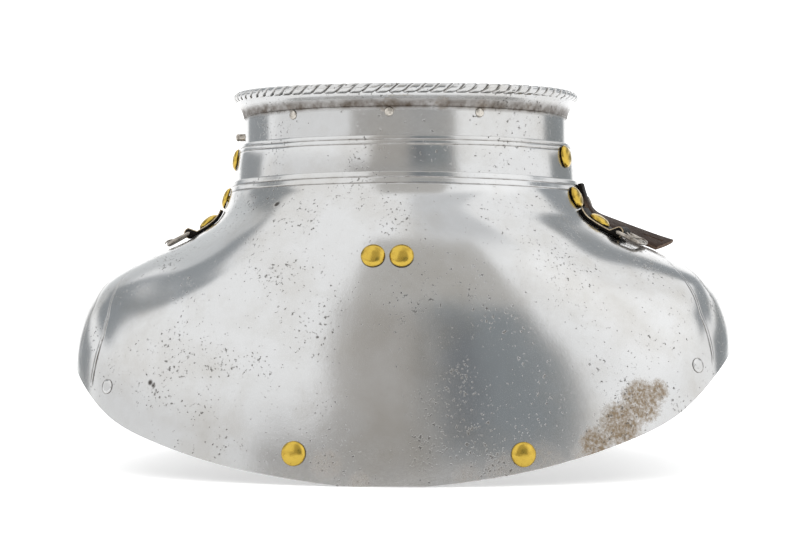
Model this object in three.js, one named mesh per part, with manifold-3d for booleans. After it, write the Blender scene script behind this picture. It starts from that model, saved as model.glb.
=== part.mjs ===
// Steel gorget: collar, neck lame and main plate in a front half and a back half, with rivets,
// shoulder buckles, a strap, a closing peg and a hinge. Millimetres, +Z up, the front faces -Y.
// Azimuth is measured round the neck in degrees: 0 at the front, 90 at +X, 180 at the back.
import * as THREE from 'three';
import { mergeVertices } from 'three/addons/utils/BufferGeometryUtils.js';
import Module from 'manifold-3d';

const wasm = await Module();
wasm.setup();

// Plates
const plateThickness = 1.2;
const fitGap = 0.8;            // clearance between plates that lie over each other
const seatGap = 0.3;           // clearance of a piece that sits on its neighbour

// Main plate: reaches are measured level from the neck axis to the lower edge
const frontReach = 124;
const backReach = 116;
const sideReach = 152.5;
const sideRise = 52;           // height of the lower edge at the sides
const edgeLean = 2.5;          // how much higher the +X side of the edge lies than the middle
const mainTop = 133;           // height of the upper edge at the front and back
const mainTopDrop = 1.6;       // how much lower it lies at the sides
const restHalfAngle = 8;       // half the angle over which the edge lies flat on the ground
const shoulderStart = 20;      // turn from the middle where the shoulder's section starts to blend in
const shoulderEnd = 85;        // turn where the section is wholly the shoulder's

// Neck
const neckHalfWidth = 77;
const neckOval = 2;            // how much less deep than wide the neck is, on each side
const lameTop = 149;
const lameBottom = 118;
const lameFlare = 2;           // how far the lame widens from its upper edge down
const flareInMain = 0.95;      // share of that flare which the lame has inside the main plate's top
const collarBottom = 137;
const collarFoot = 161.8;      // where the collar starts to flare
const rimHeight = 171.4;       // height of the middle of the roped rim at the sides and back
const rimDip = 1.8;            // how much lower it lies at the front
const rimRadius = 2.3;
const rimFlare = 3.3;          // how far the rim stands out of the collar wall
const ropeDepth = 0.55;        // depth of the rope's grooves
const ropePitch = 6;           // distance between two grooves along the rim
const ropeSteps = 3;           // cross-sections in each pitch
const rimSeat = 1.2;           // the wall meets the rim this many rim radii under its middle

// Seam between the halves
const stationStep = 8;         // angle between two upright stations of the plates
const seamAngle = 96;          // rear edge of the front half
const lapAngle = 6;            // how far the back half runs under the front half
const clipAngle = 2;           // how far the clipped corners of the back half stand off the seam
const seamGap = 0.5;           // gap between the two ends of the rim

// Pegs and rivets
const domeRadius = 5.3;
const domeHeight = 2.6;
const shankRadius = 1.8;
const tailRadius = 3.2;
const tailHeight = 1.0;
const tailGap = 0.6;
const crownRadius = 0.74;      // where a head's crown turns down, as shares of its radius and height
const crownHeight = 0.76;
const pivotSeat = 0.75;        // the lower pivots sit on the hollow of the neck's flare
const holeDepth = 3;           // how far a hole's cut runs past the metal
const steelRivetRadius = 2.1;
const steelRivetHeight = 0.9;
const cornerRivetRadius = 3.4;
const cornerRivetHeight = 0.6;
const cornerRivetSeat = 0.5;
const collarPivotHeight = 144;
const lamePivotHeight = 125;
const collarRivetHeight = 159.5;
const centreRivetHeight = 95.7;
const lowerRivetHeight = 13.2;
const pegHeight = 154;
const pegAngle = -93;
const pegRadius = 1.85;
const pegReach = 6;            // how far the peg stands out of the front collar
const pegChamfer = 0.4;
const slotClearance = 1.6;      // lets the collars tilt with the peg in its slot

// Shoulder leathers and buckles
const chapeSeat = 0.4;
const chapeWidth = 14;
const chapeThickness = 2.2;
const chapeLoopWall = 1.1;     // one layer of leather where it turns round the bar
const chapeTop = 118.5;        // height of the chape's inner end on the neck's flare
const chapeRivetHeight = 111.3;
const chapeRivetSeat = 1.1;    // extra height of its head over the leather's hollow
const chapeLoopTurn = 1.1;     // how far the leather turns round the bar, in half turns
const barHeight = 105.4;       // height of the plate under the buckle's bar
const barSide = 1.6;
const buckleLength = 13;
const buckleWidth = 21;
const buckleRail = 2.3;
const buckleEndGap = 0.8;      // gap under the buckle's free end
const tongueWidth = 1.6;
const tongueThickness = 1.1;
const tongueOverhang = 0.4;    // how far its tip reaches over the middle of the end bar
const tongueTip = 1.6;         // length of its flat tip, in rail widths
const tonguePoint = 0.6;       // thickness of the tip's end, as a share of the tongue's
const strapWidth = 18;
const strapThickness = 2;
const strapLine = -5.7;        // the strap's middle line lies this far along Y
const strapTop = 130;          // height of the plate under the end that stands against the neck
const strapLow = 93.4;         // height of the plate under the free end
const strapSlant = 2.8;        // how much lower the free end reaches at its rear corner
const strapLift = 6.8;         // how far the rear edge stands off the plate at the free end
const strapSeat = 0.45;
const strapRivetHeight = 121;
const strapRivetRadius = 2.8;
const slitLength = 9;
const slitWidth = 1.6;
const slitDistance = 116;      // distance of the slit's middle from the neck axis
const slitCut = 20;            // how far the slit's cut runs past the strap, up and down

// Hinge
const hingeBottom = 54;
const hingeLength = 9;
const knuckleRadius = 2;
const hingePinRadius = 0.9;
const hingePinHead = 0.6;
const hingePinHeadRadius = 1.6;
const hingeStandOff = 0.2;     // angle of the hinge behind the rear edge of the front half
const knuckleCut = 1;          // how far the cut for the other knuckle runs past the leaf
const leafWidth = 12;
const leafThickness = 1;

const steel = { color: 0xb9bcc0, roughness: 0.28, metalness: 1 };
const darkSteel = { color: 0x8d8f92, roughness: 0.4, metalness: 1 };
const brass = { color: 0xc9a34a, roughness: 0.25, metalness: 1 };
const blackLeather = { color: 0x1d1a18, roughness: 0.6, metalness: 0 };
const brownLeather = { color: 0x5a4334, roughness: 0.65, metalness: 0 };

// Plan outline of the main plate's edge. turn: degrees from the middle of the front or the back;
// reach: share of the way from the middle's reach to the side's; rise: share of the side's rise.
const frontOutline = [
  { turn: 0, reach: 0, rise: 0 },
  { turn: 8, reach: 0.018, rise: 0 },
  { turn: 15, reach: 0.067, rise: 0.031 },
  { turn: 30, reach: 0.298, rise: 0.135 },
  { turn: 45, reach: 0.688, rise: 0.323 },
  { turn: 55, reach: 0.982, rise: 0.519 },
  { turn: 65, reach: 1.16, rise: 0.82 },
  { turn: 75, reach: 1.12, rise: 0.965 },
  { turn: 90, reach: 1, rise: 1 },
];
const backOutline = [
  { turn: 0, reach: 0, rise: 0 },
  { turn: 8, reach: 0, rise: 0 },
  { turn: 15, reach: 0.03, rise: 0.031 },
  { turn: 30, reach: 0.165, rise: 0.17 },
  { turn: 45, reach: 0.41, rise: 0.42 },
  { turn: 60, reach: 0.7, rise: 0.71 },
  { turn: 75, reach: 0.93, rise: 0.93 },
  { turn: 90, reach: 1, rise: 1 },
];
// Sections of the main plate from its upper edge to its lower edge. out: share of the way from the
// neck to the edge; height: share of the plate's height there. The side columns hold the shoulder.
const mainSections = [
  { out: 0, height: 1, sideOut: 0, sideHeight: 1 },
  { out: 0.03, height: 0.962, sideOut: 0.016, sideHeight: 0.938 },
  { out: 0.1, height: 0.917, sideOut: 0.045, sideHeight: 0.856 },
  { out: 0.211, height: 0.868, sideOut: 0.095, sideHeight: 0.775 },
  { out: 0.339, height: 0.812, sideOut: 0.188, sideHeight: 0.712 },
  { out: 0.466, height: 0.744, sideOut: 0.318, sideHeight: 0.649 },
  { out: 0.587, height: 0.662, sideOut: 0.49, sideHeight: 0.582 },
  { out: 0.694, height: 0.564, sideOut: 0.655, sideHeight: 0.513 },
  { out: 0.782, height: 0.451, sideOut: 0.792, sideHeight: 0.441 },
  { out: 0.861, height: 0.331, sideOut: 0.878, sideHeight: 0.359 },
  { out: 0.928, height: 0.203, sideOut: 0.935, sideHeight: 0.264 },
  { out: 0.974, height: 0.09, sideOut: 0.978, sideHeight: 0.139 },
  { out: 1, height: 0, sideOut: 1, sideHeight: 0 },
];
// Rows of the neck lame, as shares of its height (1 at the top) and of its flare.
const lameSections = [
  { height: 1, flare: 0 },
  { height: 0.8, flare: 0.6 },
  { height: 0.55, flare: 0.95 },
  { height: 0, flare: 1 },
];
// Rows of the collar from just under its rim to its foot, as shares of that height and of its flare.
const collarFlareSections = [
  { height: 1, flare: 0.74 },
  { height: 0.5, flare: 0.22 },
  { height: 0, flare: 0 },
];

// Stations along the strap, from the neck to its free end. way: share of the height between them;
// lift: share of the free end's lift that the rear edge has there.
const strapStations = [
  { way: 0, lift: 0 },
  { way: 0.123, lift: 0.02 },
  { way: 0.273, lift: 0.08 },
  { way: 0.423, lift: 0.24 },
  { way: 0.56, lift: 0.5 },
  { way: 0.683, lift: 0.72 },
  { way: 0.82, lift: 0.86 },
  { way: 0.915, lift: 0.93 },
  { way: 1, lift: 1.06 },
];

const weld = 1e-4;             // points closer than this are one point
const leastFall = 0.35;        // an end row moves sideways as if its section fell at least this steeply
const searchStep = 0.25;       // step of height in the search for the buckle's free end
const layer = plateThickness + fitGap;
const degree = Math.PI / 180;
const backStart = seamAngle - lapAngle;
const pegSlotHalf = pegRadius + slotClearance;

const mix = (a, b, share) => a + (b - a) * share;
const clamp = (value, low, high) => Math.min(high, Math.max(low, value));

function smooth(value) {
  const t = clamp(value, 0, 1);
  return t * t * (3 - 2 * t);
}

// A smooth curve through one column of a table of turns.
function column(table, name, turn) {
  let i = 0;
  while (i < table.length - 2 && table[i + 1].turn < turn) i += 1;
  const a = table[Math.max(0, i - 1)];
  const b = table[i];
  const c = table[i + 1];
  const d = table[Math.min(table.length - 1, i + 2)];
  const span = c.turn - b.turn;
  const t = (turn - b.turn) / span;
  const slopeB = ((c[name] - a[name]) / (c.turn - a.turn || 1)) * span;
  const slopeC = ((d[name] - b[name]) / (d.turn - b.turn || 1)) * span;
  const startPart = (2 * t ** 3 - 3 * t ** 2 + 1) * b[name] + (t ** 3 - 2 * t ** 2 + t) * slopeB;
  const endPart = (3 * t ** 2 - 2 * t ** 3) * c[name] + (t ** 3 - t ** 2) * slopeC;
  return startPart + endPart;
}

function fromAxis(azimuth, distance, height) {
  const angle = azimuth * degree;
  return new THREE.Vector3(distance * Math.sin(angle), -distance * Math.cos(angle), height);
}

// Distance from the axis of an upright oval of the neck's shape with this half width.
function neckDistance(azimuth, halfWidth) {
  const angle = azimuth * degree;
  return 1 / Math.hypot(Math.sin(angle) / halfWidth, Math.cos(angle) / (halfWidth - neckOval));
}

function turnOf(azimuth) {
  const folded = Math.abs(((azimuth + 540) % 360) - 180);
  return folded > 90 ? { turn: 180 - folded, back: true } : { turn: folded, back: false };
}

// Section of a main plate at an azimuth: distance and height of each row of its outer face.
function mainSection(azimuth, inset) {
  const { turn, back } = turnOf(azimuth);
  const outline = back ? backOutline : frontOutline;
  const middleReach = back ? backReach : frontReach;
  const sine = Math.sin(azimuth * degree);
  const reach = mix(middleReach, sideReach, column(outline, 'reach', turn));
  const flat = turn <= restHalfAngle;
  const rise = flat ? 0 : Math.max(0, column(outline, 'rise', turn)) * sideRise + edgeLean * sine ** 3;
  const top = mainTop - mainTopDrop * sine * sine;
  const neck = neckDistance(azimuth, neckHalfWidth + 2 * layer + lameFlare * flareInMain);
  const side = smooth((turn - shoulderStart) / (shoulderEnd - shoulderStart));
  const rows = mainSections.map((row) => [
    mix(neck, reach, mix(row.out, row.sideOut, side)),
    mix(rise, top, mix(row.height, row.sideHeight, side)),
  ]);
  return offsetRows(rows, inset);
}

function lameSection(azimuth, inset) {
  const rows = lameSections.map((row) => [
    neckDistance(azimuth, neckHalfWidth + layer + lameFlare * row.flare),
    mix(lameBottom, lameTop, row.height),
  ]);
  return offsetRows(rows, inset);
}

function rimCentre(azimuth) {
  const cosine = Math.max(0, Math.cos(azimuth * degree));
  return {
    distance: neckDistance(azimuth, neckHalfWidth + rimFlare),
    height: rimHeight - rimDip * cosine * cosine,
  };
}

function collarSection(azimuth, inset) {
  const rim = rimCentre(azimuth);
  const wallHeights = [collarFoot, pegHeight + pegSlotHalf, pegHeight - pegSlotHalf, collarBottom];
  const flare = collarFlareSections.slice(0, -1).map((row) => [
    mix(neckDistance(azimuth, neckHalfWidth - inset), rim.distance, row.flare),
    mix(collarFoot, rim.height - rimRadius * rimSeat, row.height),
  ]);
  const wall = wallHeights.map((height) => [neckDistance(azimuth, neckHalfWidth - inset), height]);
  return [...flare, ...wall];
}

// Moves a section's rows inwards, square to the section. The end rows keep their heights.
function offsetRows(rows, distance) {
  return rows.map(([out, height], i) => {
    const before = rows[Math.max(0, i - 1)];
    const after = rows[Math.min(rows.length - 1, i + 1)];
    const run = after[0] - before[0];
    const fall = before[1] - after[1];
    const length = Math.hypot(run, fall);
    const end = i === 0 || i === rows.length - 1;
    if (end) return [out - (distance * length) / Math.max(fall, leastFall * length), height];
    return [out - (distance * fall) / length, height - (distance * run) / length];
  });
}

// Faces between two grids of points, [column][row], closed round the cells that keep says are filled.
// With openTop the first row's edge is left for another surface to close.
function slabFaces(outer, inner, keep, openTop) {
  const columnCount = outer.length;
  const rowCount = outer[0].length;
  const positions = [];
  const quad = (...corners) => {
    const [a, b, c, d] = corners.map(([grid, i, j]) => grid[i][j].toArray());
    positions.push(...a, ...b, ...c, ...a, ...c, ...d);
  };
  const inGrid = (i, j) => i >= 0 && j >= 0 && i < columnCount - 1 && j < rowCount - 1;
  const solid = (i, j) => inGrid(i, j) && keep(i, j);
  for (let i = 0; i < columnCount - 1; i += 1) {
    for (let j = 0; j < rowCount - 1; j += 1) {
      if (!solid(i, j)) continue;
      const [k, l] = [i + 1, j + 1];
      quad([outer, i, j], [outer, i, l], [outer, k, l], [outer, k, j]);
      quad([inner, i, j], [inner, k, j], [inner, k, l], [inner, i, l]);
      if (!solid(i - 1, j)) quad([outer, i, j], [inner, i, j], [inner, i, l], [outer, i, l]);
      if (!solid(k, j)) quad([outer, k, j], [outer, k, l], [inner, k, l], [inner, k, j]);
      const closeTop = !solid(i, j - 1) && !(openTop && j === 0);
      if (closeTop) quad([outer, i, j], [outer, k, j], [inner, k, j], [inner, i, j]);
      if (!solid(i, l)) quad([outer, i, l], [inner, i, l], [inner, k, l], [outer, k, l]);
    }
  }
  return positions;
}

function meshOf(positions) {
  const geometry = new THREE.BufferGeometry();
  geometry.setAttribute('position', new THREE.Float32BufferAttribute(positions, 3));
  return mergeVertices(geometry, weld);
}

function plateGrids(azimuths, section) {
  const outer = azimuths.map((azimuth) => section(azimuth));
  const inner = outer.map((rows) => offsetRows(rows, plateThickness));
  const points = (grid) => grid.map((rows, i) => rows.map((row) => fromAxis(azimuths[i], ...row)));
  return [points(outer), points(inner)];
}

// A plate that follows a section round the neck. keep says which cells of its grid are metal.
function sheet(azimuths, section, keep) {
  return meshOf(slabFaces(...plateGrids(azimuths, section), keep, false));
}

function toSolid(geometry) {
  const bare = geometry.clone();
  bare.deleteAttribute('normal');
  bare.deleteAttribute('uv');
  const merged = mergeVertices(bare, weld);
  return new wasm.Manifold(new wasm.Mesh({
    numProp: 3,
    vertProperties: new Float32Array(merged.attributes.position.array),
    triVerts: new Uint32Array(merged.index.array),
  }));
}

function fromSolid(solid) {
  const mesh = solid.getMesh();
  const geometry = new THREE.BufferGeometry();
  geometry.setAttribute('position', new THREE.BufferAttribute(new Float32Array(mesh.vertProperties), 3));
  geometry.setIndex(new THREE.BufferAttribute(new Uint32Array(mesh.triVerts), 1));
  return geometry;
}

function cut(geometry, tools) {
  const solid = tools.reduce((rest, tool) => rest.subtract(toSolid(tool)), toSolid(geometry));
  return fromSolid(solid);
}

function join(geometries) {
  const [first, ...others] = geometries.map(toSolid);
  return fromSolid(others.reduce((whole, solid) => whole.add(solid), first));
}

// Azimuth stations between two angles, evenly spaced with about this step.
function stations(start, end, step) {
  const count = Math.max(1, Math.round((end - start) / step));
  return Array.from({ length: count + 1 }, (_, i) => mix(start, end, i / count));
}

// Triangles between a plate's edge and a finer edge over it, seen from the side they face.
function stitch(coarse, fine) {
  const positions = [];
  const face = (...corners) => corners.forEach(({ point }) => positions.push(...point.toArray()));
  let [i, j] = [0, 0];
  while (i < coarse.length - 1 || j < fine.length - 1) {
    const coarseNext = i < coarse.length - 1 ? coarse[i + 1].azimuth : Infinity;
    const fineNext = j < fine.length - 1 ? fine[j + 1].azimuth : Infinity;
    if (coarseNext < fineNext) {
      face(fine[j], coarse[i], coarse[i + 1]);
      i += 1;
    } else {
      face(fine[j], coarse[i], fine[j + 1]);
      j += 1;
    }
  }
  return positions;
}

// Turns every triangle of a list of positions over.
function turnedOver(positions) {
  const turned = [];
  for (let i = 0; i < positions.length; i += 9) {
    turned.push(...positions.slice(i, i + 3), ...positions.slice(i + 6, i + 9), ...positions.slice(i + 3, i + 6));
  }
  return turned;
}

// A collar with its roped rim. The rim's grooves slant up towards +azimuth. Of the rim's sides, the
// one between the points innerEdge and outerEdge is left open for the collar's wall.
function ropedCollar(azimuths, section, keep, rimColumns) {
  const [outer, inner] = plateGrids(azimuths, section);
  const [firstColumn, lastColumn] = rimColumns;
  const [start, end] = [azimuths[firstColumn], azimuths[lastColumn]];
  const length = (end - start) * degree * (neckHalfWidth + rimFlare);
  const steps = Math.round(length / ropePitch) * ropeSteps;
  const ropeSides = 5;
  const [innerEdge, outerEdge] = [3, 4];
  const rings = Array.from({ length: steps + 1 }, (_, i) => {
    const azimuth = mix(start, end, i / steps);
    const centre = rimCentre(azimuth);
    return Array.from({ length: ropeSides }, (__, j) => {
      const around = (j / ropeSides) * 2 * Math.PI;
      const wave = 0.5 + 0.5 * Math.cos(2 * Math.PI * (i / ropeSteps - j / ropeSides));
      const radius = rimRadius - ropeDepth * wave;
      const distance = centre.distance + radius * Math.cos(around);
      return { azimuth, point: fromAxis(azimuth, distance, centre.height + radius * Math.sin(around)) };
    });
  });
  const positions = slabFaces(outer, inner, keep, true);
  const face = (...corners) => corners.forEach(({ point }) => positions.push(...point.toArray()));
  for (let i = 0; i < steps; i += 1) {
    for (let j = 0; j < ropeSides; j += 1) {
      if (j === innerEdge) continue;
      const k = (j + 1) % ropeSides;
      face(rings[i][j], rings[i + 1][j], rings[i + 1][k]);
      face(rings[i][j], rings[i + 1][k], rings[i][k]);
    }
  }
  const topEdge = (grid) => grid.slice(firstColumn, lastColumn + 1).map((rows, i) => {
    return { azimuth: azimuths[firstColumn + i], point: rows[0] };
  });
  const [outerTop, innerTop] = [topEdge(outer), topEdge(inner)];
  positions.push(...stitch(outerTop, rings.map((ring) => ring[outerEdge])));
  positions.push(...turnedOver(stitch(innerTop, rings.map((ring) => ring[innerEdge]))));
  const cap = (ring, outerCorner, innerCorner) => {
    const rim = [...ring.slice(0, innerEdge + 1), innerCorner, outerCorner, ...ring.slice(outerEdge)];
    const fan = [];
    for (let j = 1; j < rim.length - 1; j += 1) {
      [rim[0], rim[j], rim[j + 1]].forEach(({ point }) => fan.push(...point.toArray()));
    }
    return fan;
  };
  positions.push(...cap(rings[0], outerTop[0], innerTop[0]));
  positions.push(...turnedOver(cap(rings[steps], outerTop.at(-1), innerTop.at(-1))));
  return meshOf(positions);
}

// Point on a section's outer face at an azimuth and height, on the chord between two stations.
function pointAt(section, azimuth, height) {
  const first = Math.floor(azimuth / stationStep) * stationStep;
  const [a, b] = [first, first + stationStep].map((station) => {
    const rows = section(station);
    let i = 0;
    while (i < rows.length - 2 && rows[i + 1][1] > height) i += 1;
    const share = (rows[i][1] - height) / (rows[i][1] - rows[i + 1][1]);
    return fromAxis(station, mix(rows[i][0], rows[i + 1][0], share), height);
  });
  const square = fromAxis(azimuth + 90, 1, 0);
  const share = a.dot(square) / (a.dot(square) - b.dot(square));
  return a.lerp(b, share);
}

// The same point with the direction square to the face there.
function faceAt(section, azimuth, height) {
  const reach = 3;
  const point = pointAt(section, azimuth, height);
  const turn = reach / (point.x ** 2 + point.y ** 2) ** 0.5 / degree;
  const along = pointAt(section, azimuth + turn, height).sub(pointAt(section, azimuth - turn, height));
  const up = pointAt(section, azimuth, height + reach).sub(pointAt(section, azimuth, height - reach));
  return { point, normal: along.cross(up).normalize() };
}

function place(geometry, point, direction) {
  const turn = new THREE.Quaternion().setFromUnitVectors(new THREE.Vector3(0, 1, 0), direction);
  return geometry.applyQuaternion(turn).translate(point.x, point.y, point.z);
}

// A rivet about its own +Y, with its seat at height 0: domed head, shank and hammered tail.
function rivetGeometry({ headRadius, headHeight, grip, sides }) {
  const profile = [
    [0, -grip - tailHeight],
    [tailRadius, -grip],
    [shankRadius, -grip],
    [shankRadius, 0],
    [headRadius, 0],
    [headRadius * crownRadius, headHeight * crownHeight],
    [0, headHeight],
  ].map(([x, y]) => new THREE.Vector2(x, y));
  return new THREE.LatheGeometry(profile, sides);
}

function hole(point, direction, radius, depth) {
  const tool = new THREE.CylinderGeometry(radius, radius, 2 * depth, 8);
  return place(tool, point, direction);
}

const everywhere = () => true;
const frontMain = (azimuth) => mainSection(azimuth, 0);
const backMain = (azimuth) => mainSection(azimuth, layer);
const frontLame = (azimuth) => lameSection(azimuth, 0);
const backLame = (azimuth) => lameSection(azimuth, layer);
const frontCollar = (azimuth) => collarSection(azimuth, 0);
const backCollar = (azimuth) => collarSection(azimuth, layer);

// Leather, buckles and strap

// Turns a shape drawn in (outward, up) into a solid of this width across the given azimuth.
function extrudeAcross(shape, azimuth, width) {
  const geometry = new THREE.ExtrudeGeometry(shape, { depth: width, bevelEnabled: false, curveSegments: 4 });
  const outward = fromAxis(azimuth, 1, 0);
  const up = new THREE.Vector3(0, 0, 1);
  const across = outward.clone().cross(up);
  const basis = new THREE.Matrix4().makeBasis(outward, up, across);
  return geometry.translate(0, 0, -width / 2).applyMatrix4(basis);
}

function flat({ point }) {
  return new THREE.Vector2(Math.hypot(point.x, point.y), point.z);
}

// Point over a section's face in the upright plane of its azimuth.
function above(section, azimuth, height, distance) {
  const face = faceAt(section, azimuth, height);
  const outward = fromAxis(azimuth, 1, 0);
  const square = new THREE.Vector2(face.normal.dot(outward), face.normal.z).normalize();
  return flat(face).addScaledVector(square, distance);
}

const barHole = (barSide / 2) * Math.SQRT2 + seatGap;
const loopRadius = barHole + chapeLoopWall;

function barCentre(azimuth) {
  return above(frontMain, azimuth, barHeight, seatGap + loopRadius);
}

// The chape: leather laid along the neck's flare and turned round the bar.
function chape(azimuth) {
  const rows = 5;
  const heights = Array.from({ length: rows }, (_, i) => mix(chapeTop, barHeight, i / (rows - 1)));
  const lower = heights.map((height) => above(frontMain, azimuth, height, chapeSeat));
  const upper = heights.slice(0, -1).map((height) => {
    return above(frontMain, azimuth, height, chapeSeat + chapeThickness);
  });
  const centre = barCentre(azimuth);
  const along = lower[rows - 1].clone().sub(lower[rows - 2]).normalize();
  const down = Math.atan2(along.y, along.x) - Math.PI / 2;
  const shape = new THREE.Shape();
  shape.moveTo(lower[0].x, lower[0].y);
  lower.slice(1, -1).forEach((p) => shape.lineTo(p.x, p.y));
  shape.absarc(centre.x, centre.y, loopRadius, down, down + Math.PI * chapeLoopTurn, false);
  upper.reverse().forEach((p) => shape.lineTo(p.x, p.y));
  const bore = new THREE.Path().absarc(centre.x, centre.y, barHole, 0, 2 * Math.PI, true);
  shape.holes.push(bore);
  return extrudeAcross(shape, azimuth, chapeWidth);
}

// Frame of the buckle: its own X runs from the bar to the free end, its Y across.
function buckleFrame(azimuth) {
  const bar = barCentre(azimuth);
  const endDistance = bar.x + buckleLength;
  let height = barHeight;
  while (flat(faceAt(frontMain, azimuth, height)).x < endDistance) height -= searchStep;
  const end = above(frontMain, azimuth, height, buckleEndGap + barSide / 2);
  const outward = fromAxis(azimuth, 1, 0);
  const along = outward.clone().multiplyScalar(end.x - bar.x).setZ(end.y - bar.y).normalize();
  const across = fromAxis(azimuth + 90, 1, 0);
  const matrix = new THREE.Matrix4().makeBasis(along, across, along.clone().cross(across));
  return matrix.setPosition(outward.multiplyScalar(bar.x).setZ(bar.y));
}

function buckle(azimuth) {
  const inner = -barSide / 2;
  const outer = inner + buckleLength;
  const half = buckleWidth / 2;
  const corner = buckleRail;
  const shape = new THREE.Shape([
    [inner, -half + corner / 2], [inner + corner / 2, -half], [outer - corner, -half],
    [outer, -half + corner], [outer, half - corner], [outer - corner, half],
    [inner + corner / 2, half], [inner, half - corner / 2],
  ].map(([x, y]) => new THREE.Vector2(x, y)));
  const window = new THREE.Path([
    [inner + barSide, half - buckleRail], [outer - buckleRail - corner / 3, half - buckleRail],
    [outer - buckleRail, half - buckleRail - corner / 3], [outer - buckleRail, -half + buckleRail + corner / 3],
    [outer - buckleRail - corner / 3, -half + buckleRail], [inner + barSide, -half + buckleRail],
  ].map(([x, y]) => new THREE.Vector2(x, y)));
  shape.holes.push(window);
  const geometry = new THREE.ExtrudeGeometry(shape, { depth: barSide, bevelEnabled: false });
  return geometry.translate(0, 0, -barSide / 2).applyMatrix4(buckleFrame(azimuth));
}

// The tongue starts in front of the leather loop and lies over the frame's free end.
function buckleTongue(azimuth) {
  const start = loopRadius + seatGap;
  const end = buckleLength - barSide / 2 + tongueOverhang;
  const flatStart = end - buckleRail * tongueTip;
  const rest = barSide / 2 + seatGap;
  const shape = new THREE.Shape([
    [start, -tongueThickness / 2], [flatStart, rest], [end, rest],
    [end, rest + tongueThickness * tonguePoint], [flatStart, rest + tongueThickness],
    [start, tongueThickness / 2],
  ].map(([x, y]) => new THREE.Vector2(x, y)));
  const geometry = new THREE.ExtrudeGeometry(shape, { depth: tongueWidth, bevelEnabled: false });
  const upright = new THREE.Matrix4().makeRotationX(Math.PI / 2);
  return geometry.translate(0, 0, -tongueWidth / 2).applyMatrix4(upright).applyMatrix4(buckleFrame(azimuth));
}

// Face of the front plate at a height where it crosses an upright plane of constant Y, on the +X side.
function faceOnLine(y, height) {
  let azimuth = 90;
  for (let i = 0; i < 8; i += 1) {
    const { point } = faceAt(frontMain, azimuth, height);
    azimuth = 90 + Math.asin(y / Math.hypot(point.x, point.y)) / degree;
  }
  return { azimuth, ...faceAt(frontMain, azimuth, height) };
}

function shoulderStrap() {
  const across = [-0.5, -0.17, 0.17, 0.5];
  const bottom = strapStations.map(({ way, lift }) => across.map((share) => {
    const height = mix(strapTop, strapLow - 2 * strapSlant * share, way);
    const { point, normal } = faceOnLine(strapLine + strapWidth * share, height);
    const raise = strapSeat + strapLift * lift * (share + 0.5);
    return point.addScaledVector(normal, raise);
  }));
  const top = bottom.map((row, i) => row.map((point, j) => {
    const before = bottom[Math.max(0, i - 1)][j];
    const after = bottom[Math.min(bottom.length - 1, i + 1)][j];
    const side = row[Math.min(row.length - 1, j + 1)].clone().sub(row[Math.max(0, j - 1)]);
    const normal = after.clone().sub(before).cross(side).normalize();
    return point.clone().addScaledVector(normal, strapThickness);
  }));
  // Its rows run across and its columns along, so the two faces change places.
  const whole = meshOf(slabFaces(bottom, top, everywhere, false));
  const slit = new THREE.BoxGeometry(slitLength, slitWidth, 2 * slitCut);
  slit.translate(slitDistance, strapLine, strapLow + slitCut / 2);
  return cut(whole, [slit]);
}

// Hinge

const hingeAngle = seamAngle + hingeStandOff;
const hingeOut = fromAxis(hingeAngle, 1, 0);
const hingeTop = hingeBottom + hingeLength;

// How far a wall stands out along the hinge's outward direction, between two azimuths.
function wallOut(section, start, end, height) {
  const distances = stations(start, end, 1).map((azimuth) => pointAt(section, azimuth, height).dot(hingeOut));
  return Math.max(...distances);
}

const hingeLeafAngle = leafWidth / (sideReach * degree);
const frontLeafFoot = wallOut((a) => frontMain(a), hingeAngle - hingeLeafAngle, hingeAngle, hingeBottom);
const hingeDistance = frontLeafFoot + seatGap + knuckleRadius;

function hingeCylinder(radius, bottom, top, sides) {
  const geometry = new THREE.CylinderGeometry(radius, radius, top - bottom, sides);
  geometry.rotateX(Math.PI / 2);
  const centre = hingeOut.clone().multiplyScalar(hingeDistance);
  return geometry.translate(centre.x, centre.y, (bottom + top) / 2);
}

// A leaf: a plate between the wall and the knuckle, towards the front (-1) or the back (+1).
function hingeLeaf(section, way, knuckleBottom, knuckleTop) {
  const far = hingeAngle + way * hingeLeafAngle;
  const [low, high] = [hingeBottom, hingeTop].map((height) => {
    return wallOut(section, Math.min(far, hingeAngle), Math.max(far, hingeAngle), height) + seatGap;
  });
  const face = hingeDistance - knuckleRadius + leafThickness;
  const shape = new THREE.Shape([
    [low, hingeBottom], [face, hingeBottom], [face, hingeTop], [high, hingeTop],
  ].map(([x, y]) => new THREE.Vector2(x, y)));
  const leaf = extrudeAcross(shape, hingeAngle, leafWidth);
  const shift = fromAxis(hingeAngle + 90, (way * leafWidth) / 2, 0);
  leaf.translate(shift.x, shift.y, 0);
  const knuckle = hingeCylinder(knuckleRadius, knuckleBottom, knuckleTop, 12);
  const otherBottom = knuckleBottom === hingeBottom ? knuckleTop : hingeBottom - knuckleCut;
  const otherTop = knuckleBottom === hingeBottom ? hingeTop + knuckleCut : knuckleBottom;
  return cut(join([leaf, knuckle]), [
    hingeCylinder(knuckleRadius + seatGap, otherBottom, otherTop, 12),
    hingeCylinder(hingePinRadius + seatGap, hingeBottom - knuckleCut, hingeTop + knuckleCut, 10),
  ]);
}

function hingePin() {
  const profile = [
    [0, hingeBottom - seatGap - hingePinHead],
    [hingePinHeadRadius, hingeBottom - seatGap - hingePinHead],
    [hingePinHeadRadius, hingeBottom - seatGap],
    [hingePinRadius, hingeBottom - seatGap],
    [hingePinRadius, hingeTop + seatGap],
    [hingePinHeadRadius, hingeTop + seatGap],
    [hingePinHeadRadius, hingeTop + seatGap + hingePinHead],
    [0, hingeTop + seatGap + hingePinHead],
  ].map(([x, y]) => new THREE.Vector2(x, y));
  const geometry = new THREE.LatheGeometry(profile, 10).rotateX(Math.PI / 2);
  const centre = hingeOut.clone().multiplyScalar(hingeDistance);
  return geometry.translate(centre.x, centre.y, 0);
}

// Rivets

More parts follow.
